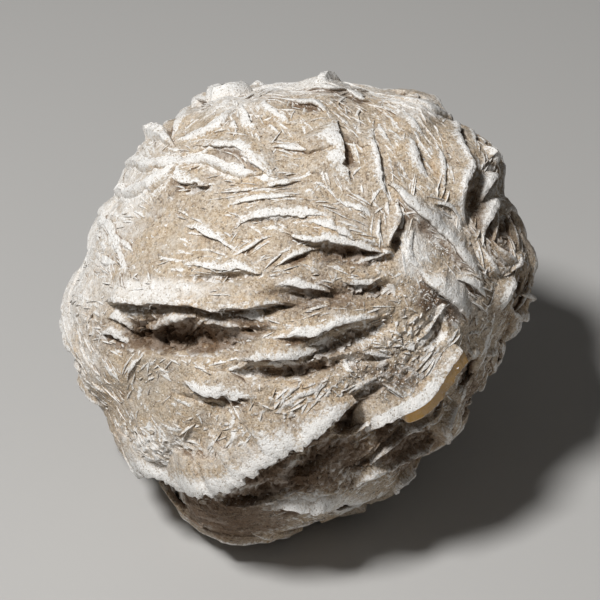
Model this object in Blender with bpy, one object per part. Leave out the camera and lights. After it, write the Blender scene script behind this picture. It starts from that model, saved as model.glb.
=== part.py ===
"""Gypsum sand rose: a ball of lens-shaped gypsum blades, grown through sand
and fused into one solid.

One closed body.  A lumpy, slightly flattened ball carries the weight; thin
blades with worn, rounded rims stand a millimetre or so out of it, each with
an undercut slot along its lower side.  The underside is worn flush to a small
flat that the rose rests on.

Frame: metres, +Z up, +X to the right, origin at the middle of the bounding
box's bottom.  The show face looks towards -Y and up, FACE_ELEVATION above the
horizon.
"""
import math

import bmesh
import bpy
import numpy as np

# ---------------------------------------------------------------- dimensions
MM = 0.001
FACE_ELEVATION = 38.0       # degrees, tilt of the show face's axis
FACE_DEPTH = 33.4 * MM      # half thickness of the ball along the face's axis
MIDDLE = (0.0 * MM, 0.16 * MM, 32.0 * MM)  # the ball's middle; z = 0 is the worn base
INSET = 0.9 * MM            # the ball's skin lies this far inside the blade tips
APEX = 400.0 * MM           # the layout is thrown onto the ball from this far
LU = 0.158 * MM             # one layout unit
LAY_X, LAY_Y = 301.0, 304.0  # layout coordinates of the ball's middle
RAMP = 3.4                  # length of a blade's sand slope, in rim widths
VOXEL = 0.80 * MM           # grid that fuses the blades with the ball
KEEP = 0.118                # share of the fused mesh's triangles that is kept
SEED = 7

# Outline of the ball seen along the face's axis, clockwise from the top left,
# in layout units (x to the right, y down).
OUTLINE = [
    (240, 86), (270, 80), (300, 80), (327, 72), (352, 80), (380, 88),
    (410, 91), (433, 96), (449, 113), (468, 126), (490, 139), (501, 160),
    (503, 185), (517, 212), (529, 237), (539, 262), (537, 292), (525, 321),
    (511, 342), (506, 361), (489, 389), (474, 407), (463, 433), (440, 446),
    (422, 460), (401, 483), (379, 495), (345, 511), (313, 525), (267, 536),
    (218, 537), (184, 515), (165, 480), (138, 468), (118, 441), (102, 407),
    (80, 382), (70, 350), (64, 306), (76, 271), (92, 226), (112, 196),
    (124, 164), (141, 137), (160, 127), (184, 112), (205, 94), (222, 86),
]

# Blades of the show face: name, rim width, lift, side that the slot is on
# (D down, R right, B both down and right, N no slot), rim line.  Layout units.
BLADES = [
    ("knob", 10, 6, "D", [(143, 137), (150, 129), (160, 133), (168, 139), (175, 147)]),
    ("band", 10, 4, "D", [(176, 140), (200, 128), (222, 116), (235, 108)]),
    ("shoulder", 12, 5, "N", [(203, 98), (212, 92), (222, 89), (240, 91)]),
    ("dome", 10, 5, "N", [(242, 92), (250, 87), (260, 85), (270, 86)]),
    ("brow", 6, 3, "N", [(124, 161), (145, 159), (170, 157), (204, 155), (235, 164), (262, 171)]),
    ("brow_low", 5, 3, "N", [(112, 196), (139, 181), (160, 173), (180, 160)]),
    ("loop", 6, 3, "D", [(181, 161), (177, 170), (187, 180), (209, 183)]),
    ("hook", 6, 3, "D", [(194, 144), (218, 143), (238, 144), (248, 155), (265, 168), (280, 175)]),
    ("hood", 5, 3, "D", [(278, 98), (301, 100), (322, 106), (328, 114)]),
    ("spine", 9, 4, "R", [(330, 118), (335, 137), (339, 158), (346, 181), (350, 190)]),
    ("crown", 8, 3, "D", [(345, 88), (362, 98), (370, 100)]),
    ("crest", 12, 3, "N", [(390, 96), (420, 99), (440, 110), (450, 119)]),
    ("shelf_1", 7, 3, "D", [(231, 228), (250, 216), (279, 213), (307, 213), (333, 215)]),
    ("shelf_2", 6, 2, "D", [(341, 200), (362, 209), (372, 215)]),
    ("shelf_3", 7, 3, "D", [(307, 219), (332, 228), (355, 237)]),
    ("shelf_4", 6, 4, "D", [(279, 229), (302, 236), (327, 238), (351, 243), (385, 250)]),
    ("scale_1", 5, 3, "D", [(187, 224), (210, 234), (239, 251)]),
    ("scale_2", 4, 4, "D", [(278, 263), (300, 253), (321, 246)]),
    ("scale_3", 7, 4, "D", [(181, 263), (206, 265), (233, 267), (261, 271)]),
    ("scale_4", 5, 3, "D", [(270, 284), (293, 283), (315, 287), (330, 290)]),
    ("scale_5", 5, 5, "D", [(351, 262), (374, 258), (390, 252), (396, 258)]),
    ("scale_6", 4, 4, "D", [(341, 278), (360, 283), (376, 279)]),
    ("ledge", 9, 6, "D", [(108, 300), (135, 302), (166, 302), (191, 302), (212, 308), (243, 306), (278, 302), (293, 302)]),
    ("lip_1", 7, 6, "D", [(268, 337), (303, 336), (326, 329), (356, 318), (378, 314)]),
    ("lip_2", 8, 6, "D", [(239, 355), (271, 357), (299, 355), (323, 345)]),
    ("lip_3", 8, 4, "D", [(181, 378), (201, 391), (237, 396), (258, 393)]),
    ("big_rim", 11, 8, "B", [(138, 469), (163, 475), (191, 492), (214, 487), (250, 466), (281, 446), (306, 434), (338, 406), (353, 391)]),
    ("inner_rim", 5, 3, "D", [(179, 460), (199, 464), (222, 462)]),
    ("plate", 11, 7, "B", [(352, 437), (375, 428), (398, 418), (423, 406), (441, 385), (456, 360), (461, 349)]),
    ("fin_1", 3, 5, "D", [(444, 304), (433, 323), (419, 338)]),
    ("diagonal", 11, 6, "N", [(421, 267), (440, 285), (460, 302), (470, 318)]),
    ("diagonal_up", 8, 3, "D", [(391, 181), (407, 198), (423, 211), (440, 226), (460, 232)]),
    ("fin_2", 5, 3, "R", [(371, 124), (376, 148), (381, 180), (387, 202)]),
    ("fin_3", 7, 4, "R", [(407, 135), (418, 158), (427, 180)]),
    ("fin_4", 6, 5, "R", [(452, 122), (464, 144), (474, 162), (464, 193), (466, 228)]),
    ("tooth_1", 13, 6, "N", [(484, 146), (492, 148), (497, 155), (493, 166)]),
    ("tooth_2", 8, 5, "R", [(495, 172), (484, 193), (477, 202)]),
    ("tooth_3", 8, 5, "R", [(496, 196), (490, 218), (481, 238)]),
    ("tooth_4", 8, 5, "R", [(513, 275), (510, 295), (500, 312)]),
    ("under_1", 4, 5, "R", [(452, 395), (445, 418), (434, 434), (427, 444)]),
    ("under_2", 7, 4, "D", [(350, 486), (374, 476), (394, 467)]),
    ("under_3", 3, 4, "D", [(412, 430), (400, 444), (378, 460), (366, 466)]),
    ("low_plate", 12, 7, "D", [(270, 505), (295, 509), (318, 511), (334, 508), (355, 508), (377, 500), (380, 491)]),
    ("left_rib", 5, 3, "R", [(104, 214), (115, 240), (126, 269), (130, 278)]),
]

# Hollows of the show face: middle, half width, half height, depth and turn
# (degrees, counter-clockwise).  Layout units, depth too.
HOLLOWS = [
    (170, 331, 62, 20, 30, 0), (350, 254, 34, 10, 20, -6), (372, 290, 26, 9, 14, 0),
    (315, 295, 36, 6, 12, 0), (228, 279, 36, 5, 12, 0), (338, 342, 52, 11, 18, 18),
    (297, 368, 54, 9, 22, 6), (196, 190, 13, 5, 12, 0), (185, 506, 30, 16, 30, 0),
    (255, 492, 42, 15, 38, 24), (312, 456, 34, 14, 38, 38), (350, 416, 22, 12, 26, 45),
    (472, 182, 7, 36, 22, 0), (470, 374, 15, 17, 32, -30), (440, 408, 20, 9, 26, 50),
    (385, 444, 30, 7, 22, 24), (396, 243, 6, 10, 14, 0), (505, 226, 12, 14, 16, 0),
    (520, 285, 8, 12, 14, 0), (435, 326, 10, 15, 14, 0), (365, 391, 16, 5, 12, 12),
]

# ------------------------------------------------------------ frame of the face
_e = math.radians(FACE_ELEVATION)
RIGHT = np.array([1.0, 0.0, 0.0])
UP = np.array([0.0, math.sin(_e), math.cos(_e)])
OUT = np.array([0.0, -math.cos(_e), math.sin(_e)])


def outline_table(steps=720):
    """Radius of the outline for evenly spaced angles, by a closed spline."""
    pts = np.array([((x - LAY_X) * LU, (LAY_Y - y) * LU) for x, y in OUTLINE])
    n = len(pts)
    fine = []
    for i in range(n):
        p0, p1, p2, p3 = pts[i - 1], pts[i], pts[(i + 1) % n], pts[(i + 2) % n]
        for t in np.linspace(0, 1, 12, endpoint=False):
            fine.append(0.5 * ((2 * p1) + (p2 - p0) * t + (2 * p0 - 5 * p1 + 4 * p2 - p3) * t * t
                               + (3 * p1 - p0 - 3 * p2 + p3) * t ** 3))
    fine = np.array(fine)
    ang = np.arctan2(fine[:, 1], fine[:, 0])
    rad = np.hypot(fine[:, 0], fine[:, 1])
    order = np.argsort(ang)
    grid = np.linspace(-math.pi, math.pi, steps, endpoint=False)
    return grid, np.interp(grid, ang[order], rad[order], period=2 * math.pi) - INSET


ANGLES, RADII = outline_table()


def ball_radius(d):
    """Radius of the plain ball in the directions d (n, 3)."""
    x, y, z = d @ RIGHT, d @ UP, d @ OUT
    rim = np.interp(np.arctan2(y, x), ANGLES, RADII, period=2 * math.pi)
    return 1.0 / np.sqrt((x * x + y * y) / rim ** 2 + (z / FACE_DEPTH) ** 2)


def unit(v):
    return v / np.linalg.norm(v, axis=-1, keepdims=True)


def throw(x, y):
    """Point of the plain ball under the layout point (x, y)."""
    flat = (x - LAY_X) * LU * RIGHT + (LAY_Y - y) * LU * UP
    eye = OUT * APEX
    ray = unit(flat - eye)
    lo, hi = APEX - 60 * MM, APEX + 5 * MM
    found = None
    for k in range(400):
        q = eye + ray * (lo + (hi - lo) * k / 399)
        gap = np.linalg.norm(q) - ball_radius(unit(q)[None])[0]
        if gap <= 0:
            found = q
            break
    if found is None:                      # beside the ball: nearest edge point
        d = unit(flat)
        return d * ball_radius(d[None])[0]
    d = unit(found)
    return d * ball_radius(d[None])[0]


# ------------------------------------------------------------------ the blades
class Blade:
    """A rim line on the ball, with the frame and size at each station."""

    def __init__(self, pts, width, lift, side, pitch=1.0 * MM):
        pts = np.array(pts)
        seg = np.linalg.norm(np.diff(pts, axis=0), axis=1)
        along = np.concatenate([[0], np.cumsum(seg)])
        count = max(4, int(along[-1] / pitch) + 1)
        s = np.linspace(0, along[-1], count)
        p = np.stack([np.interp(s, along, pts[:, k]) for k in range(3)], axis=1)
        for _ in range(2):                 # rounds the corners of the rim line
            p[1:-1] = 0.5 * p[1:-1] + 0.25 * (p[:-2] + p[2:])
        d = unit(p)
        self.p = d * ball_radius(d)[:, None]
        self.n = d
        t = unit(np.gradient(self.p, axis=0))
        self.t = t
        across = unit(np.cross(d, t))
        if side is None:
            self.slot = False
            self.s = across
        else:
            self.slot = True
            self.s = across if np.sum(across @ side) > 0 else -across
        q = np.linspace(0, 1, count)
        self.taper = np.clip(np.minimum(q, 1 - q) * 4.5, 0, 1) ** 0.6
        self.width = width
        self.lift = lift
        self.mid = self.p[count // 2]
        self.reach = np.max(np.linalg.norm(self.p - self.mid, axis=1))


SIDES = {"D": -UP, "R": RIGHT, "B": RIGHT - UP, "N": None}


def face_blades():
    out = []
    for name, width, lift, side, pts in BLADES:
        out.append(Blade([throw(x, y) for x, y in pts], width * LU, lift * LU, SIDES[side]))
    return out


def other_blades(rng):
    """Blades of the back, the sides and the underside: rows of overlapping
    arcs that follow a slowly turning direction around the ball."""
    out = []
    count = 240
    golden = math.pi * (3 - math.sqrt(5))
    for i in range(count):
        z = 1 - 2 * (i + 0.5) / count
        a = golden * i
        d = np.array([math.sqrt(1 - z * z) * math.cos(a), math.sqrt(1 - z * z) * math.sin(a), z])
        d = unit(d + rng.normal(0, 0.07, 3))
        length = rng.uniform(10, 22) * MM
        width = rng.uniform(1.0, 1.8) * MM
        lift = rng.uniform(0.9, 1.8) * MM
        turn = rng.normal(0, 0.35)
        bend = rng.uniform(-0.035, 0.035) / MM * 0.5
        if d @ OUT > 0.16 or d[2] < -0.88:
            continue
        axis = unit(np.array([0.25, 0.35 + 0.3 * math.sin(3 * a), 1.0]))
        east = unit(np.cross(axis, d))
        north = np.cross(d, east)
        line = []
        for s in np.linspace(-0.5, 0.5, 9) * length:
            w = turn + bend * s
            step = east * math.cos(w) * s + north * (math.sin(w) * s)
            q = unit(d * 35 * MM + step)
            line.append(q * ball_radius(q[None])[0])
        out.append(Blade(line, width, lift, -north))
    return out


def slot_depth(points, blades):
    """How deep the slots beside the blades cut into the ball."""
    cut = np.zeros(len(points))
    for b in blades:
        if not b.slot:
            continue
        wide = 2.2 * b.width
        near = np.nonzero(np.linalg.norm(points - b.mid, axis=1) < b.reach + 4 * wide)[0]
        if not len(near):
            continue
        q = points[near]
        k = np.argmin(np.linalg.norm(q[:, None] - b.p[None], axis=2), axis=1)
        r = q - b.p[k]
        across = np.einsum("ij,ij->i", r, b.s[k])
        along = np.abs(np.einsum("ij,ij->i", r, b.t[k]))
        rise = np.clip((across + 0.6 * b.width) / (0.6 * b.width), 0, 1)
        fall = np.exp(-(np.maximum(across, 0) / wide) ** 2)
        ends = np.exp(-(np.maximum(along - 1.0 * MM, 0) / (1.5 * MM)) ** 2)
        cut[near] = np.maximum(cut[near], 0.9 * b.lift * b.taper[k] * rise * fall * ends)
    return cut


def hollow_depth(points):
    cut = np.zeros(len(points))
    for x, y, rx, ry, deep, turn in HOLLOWS:
        c = throw(x, y)
        n = unit(c)
        ex = unit(RIGHT - n * (RIGHT @ n))
        ey = np.cross(n, ex)
        w = math.radians(turn)
        ax, ay = ex * math.cos(w) + ey * math.sin(w), ey * math.cos(w) - ex * math.sin(w)
        r = points - c
        u, v, h = r @ ax / (rx * LU), r @ ay / (ry * LU), r @ n / (14 * MM)
        cut = np.maximum(cut, deep * LU * np.exp(-(u * u + v * v) ** 1.5 - h * h))
    return cut


def lumps(dirs, rng):
    """Gentle swells, so that the ball isn't a plain ellipsoid."""
    out = np.zeros(len(dirs))
    for _ in range(26):
        c = unit(rng.normal(size=3))
        size, high = rng.uniform(0.25, 0.5), rng.uniform(-0.7, 0.7) * MM
        out += high * np.exp(-np.sum((dirs - c) ** 2, axis=1) / size ** 2)
    return out


def blade_shell(bm, b):
    """Adds a blade to bm as a closed shell: a sand slope up to the rim, the
    rounded rim, and a steep under side that runs back into the ball."""
    w, h = b.width, b.lift
    if b.slot:
        ring = [(-RAMP * w, -0.35 * w), (-1.0 * w, 0.86 * h), (-0.5 * w, 1.0 * h),
                (-0.05 * w, 0.9 * h), (0.12 * w, 0.55 * h), (0.0, 0.55 * h - 0.6 * w),
                (-0.9 * w, -1.0 * h), (-RAMP * w, -0.35 * w - 1.2 * h)]
    else:
        ring = [(-1.9 * w, -0.3 * w), (-0.5 * w, 0.8 * h), (0.0, 1.0 * h),
                (0.5 * w, 0.8 * h), (1.9 * w, -0.3 * w), (0.9 * w, -h), (-0.9 * w, -h)]
    rows = []
    for k in range(len(b.p)):
        f = max(b.taper[k], 0.12)
        row = []
        for x, z in ring:
            row.append(bm.verts.new(b.p[k] + b.s[k] * (x * (0.35 + 0.65 * f))
                                    + b.n[k] * (z * f if z > 0 else z)))
        rows.append(row)
    m = len(ring)
    faces = []
    for k in range(len(rows) - 1):
        for j in range(m):
            a, c = rows[k], rows[k + 1]
            faces.append(bm.faces.new((a[j], a[(j + 1) % m], c[(j + 1) % m], c[j])))
    faces.append(bm.faces.new(rows[0][::-1]))
    faces.append(bm.faces.new(rows[-1]))
    return faces


# ------------------------------------------------------------------- the solid
def sand_rose():
    rng = np.random.default_rng(SEED)
    blades = face_blades() + other_blades(rng)

    bm = bmesh.new()
    bmesh.ops.create_icosphere(bm, subdivisions=7, radius=1.0)
    bm.verts.ensure_lookup_table()
    dirs = unit(np.array([v.co[:] for v in bm.verts]))
    base = dirs * ball_radius(dirs)[:, None]
    # Slots are cut square to the ball, and on the show face partly along its
    # axis, as the hollows are, so that the outline stays whole.
    facing = np.clip(dirs @ OUT, 0, 1)[:, None]
    inward = unit(dirs + (facing > 0) * OUT * 1.0)
    skin = base + dirs * lumps(dirs, rng)[:, None]
    hollow = hollow_depth(base) * np.clip(facing[:, 0] * 6, 0, 1)
    slots = np.maximum(slot_depth(base, blades) - hollow, 0)
    skin = skin - OUT * hollow[:, None] - inward * slots[:, None]
    for v, p in zip(bm.verts, skin):
        v.co = p
    for b in blades:
        faces = blade_shell(bm, b)
        bmesh.ops.recalc_face_normals(bm, faces=faces)
    mesh = bpy.data.meshes.new("sand_rose")
    bmesh.ops.translate(bm, verts=bm.verts, vec=MIDDLE)
    bm.to_mesh(mesh)
    bm.free()
    return mesh


def gypsum():
    mat = bpy.data.materials.new("gypsum_and_sand")
    mat.use_nodes = True
    bsdf = mat.node_tree.nodes["Principled BSDF"]
    bsdf.inputs["Base Color"].default_value = (0.54, 0.42, 0.28, 1.0)
    bsdf.inputs["Roughness"].default_value = 0.85
    bsdf.inputs["Metallic"].default_value = 0.0
    return mat


def main():
    for ob in list(bpy.data.objects):
        bpy.data.objects.remove(ob, do_unlink=True)

    mesh = sand_rose()
    rose = bpy.data.objects.new("sand_rose", mesh)
    bpy.context.collection.objects.link(rose)
    mesh.materials.append(gypsum())

    fuse = rose.modifiers.new("fuse", "REMESH")
    fuse.mode = "VOXEL"
    fuse.voxel_size = VOXEL
    fuse.adaptivity = 0.0

    thin = rose.modifiers.new("thin", "DECIMATE")
    thin.decimate_type = "COLLAPSE"
    thin.ratio = KEEP
    thin.use_collapse_triangulate = True

    # The worn underside: everything below z = 0 is cut away.
    box = bmesh.new()
    bmesh.ops.create_cube(box, size=0.12)
    bmesh.ops.translate(box, verts=box.verts, vec=(0, 0, -0.06))
    ground = bpy.data.meshes.new("worn_away")
    box.to_mesh(ground)
    box.free()
    cutter = bpy.data.objects.new("worn_away", ground)
    bpy.context.collection.objects.link(cutter)
    cutter.display_type = "WIRE"
    cutter.hide_render = True

    wear = rose.modifiers.new("worn_base", "BOOLEAN")
    wear.operation = "DIFFERENCE"
    wear.solver = "EXACT"
    wear.object = cutter


main()
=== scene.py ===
"""Finished look of the gypsum sand rose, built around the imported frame."""
import math

import bmesh
import bpy
import numpy as np
from mathutils import Matrix, Vector, kdtree


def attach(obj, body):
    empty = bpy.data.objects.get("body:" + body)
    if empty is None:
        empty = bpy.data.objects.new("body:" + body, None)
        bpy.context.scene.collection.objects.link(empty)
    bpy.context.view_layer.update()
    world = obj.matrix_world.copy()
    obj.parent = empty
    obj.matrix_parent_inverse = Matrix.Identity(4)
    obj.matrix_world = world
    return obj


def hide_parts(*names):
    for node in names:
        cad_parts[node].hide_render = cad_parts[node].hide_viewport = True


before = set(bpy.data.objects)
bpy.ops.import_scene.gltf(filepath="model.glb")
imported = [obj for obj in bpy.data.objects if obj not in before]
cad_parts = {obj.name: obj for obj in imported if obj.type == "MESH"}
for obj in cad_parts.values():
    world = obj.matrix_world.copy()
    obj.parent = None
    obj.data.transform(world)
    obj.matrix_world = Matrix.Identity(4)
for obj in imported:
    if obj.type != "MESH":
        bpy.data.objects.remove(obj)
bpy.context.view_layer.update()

# ---------------------------------------------------------------- dimensions
MM = 0.001
FACE_ELEVATION = 38.0
FACE_DEPTH = 33.4 * MM
MIDDLE = np.array([0.0, 0.16, 32.0]) * MM
INSET = 0.9 * MM
APEX = 400.0 * MM
LU = 0.158 * MM
LAY_X, LAY_Y = 301.0, 304.0
SEED = 7

SKIN_WARP = 0.15             # the show face gets the finer part of the mesh
SPLIT = -1.0 * MM            # plane that parts the mesh of the mass, behind its outline

OUTLINE = [
    (240, 86), (270, 80), (300, 80), (327, 72), (352, 80), (380, 88),
    (410, 91), (433, 96), (449, 113), (468, 126), (490, 139), (501, 160),
    (503, 185), (517, 212), (529, 237), (539, 262), (537, 292), (525, 321),
    (511, 342), (506, 361), (489, 389), (474, 407), (463, 433), (440, 446),
    (422, 460), (401, 483), (379, 495), (345, 511), (313, 525), (267, 536),
    (218, 537), (184, 515), (165, 480), (138, 468), (118, 441), (102, 407),
    (80, 382), (70, 350), (64, 306), (76, 271), (92, 226), (112, 196),
    (124, 164), (141, 137), (160, 127), (184, 112), (205, 94), (222, 86),
]

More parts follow.
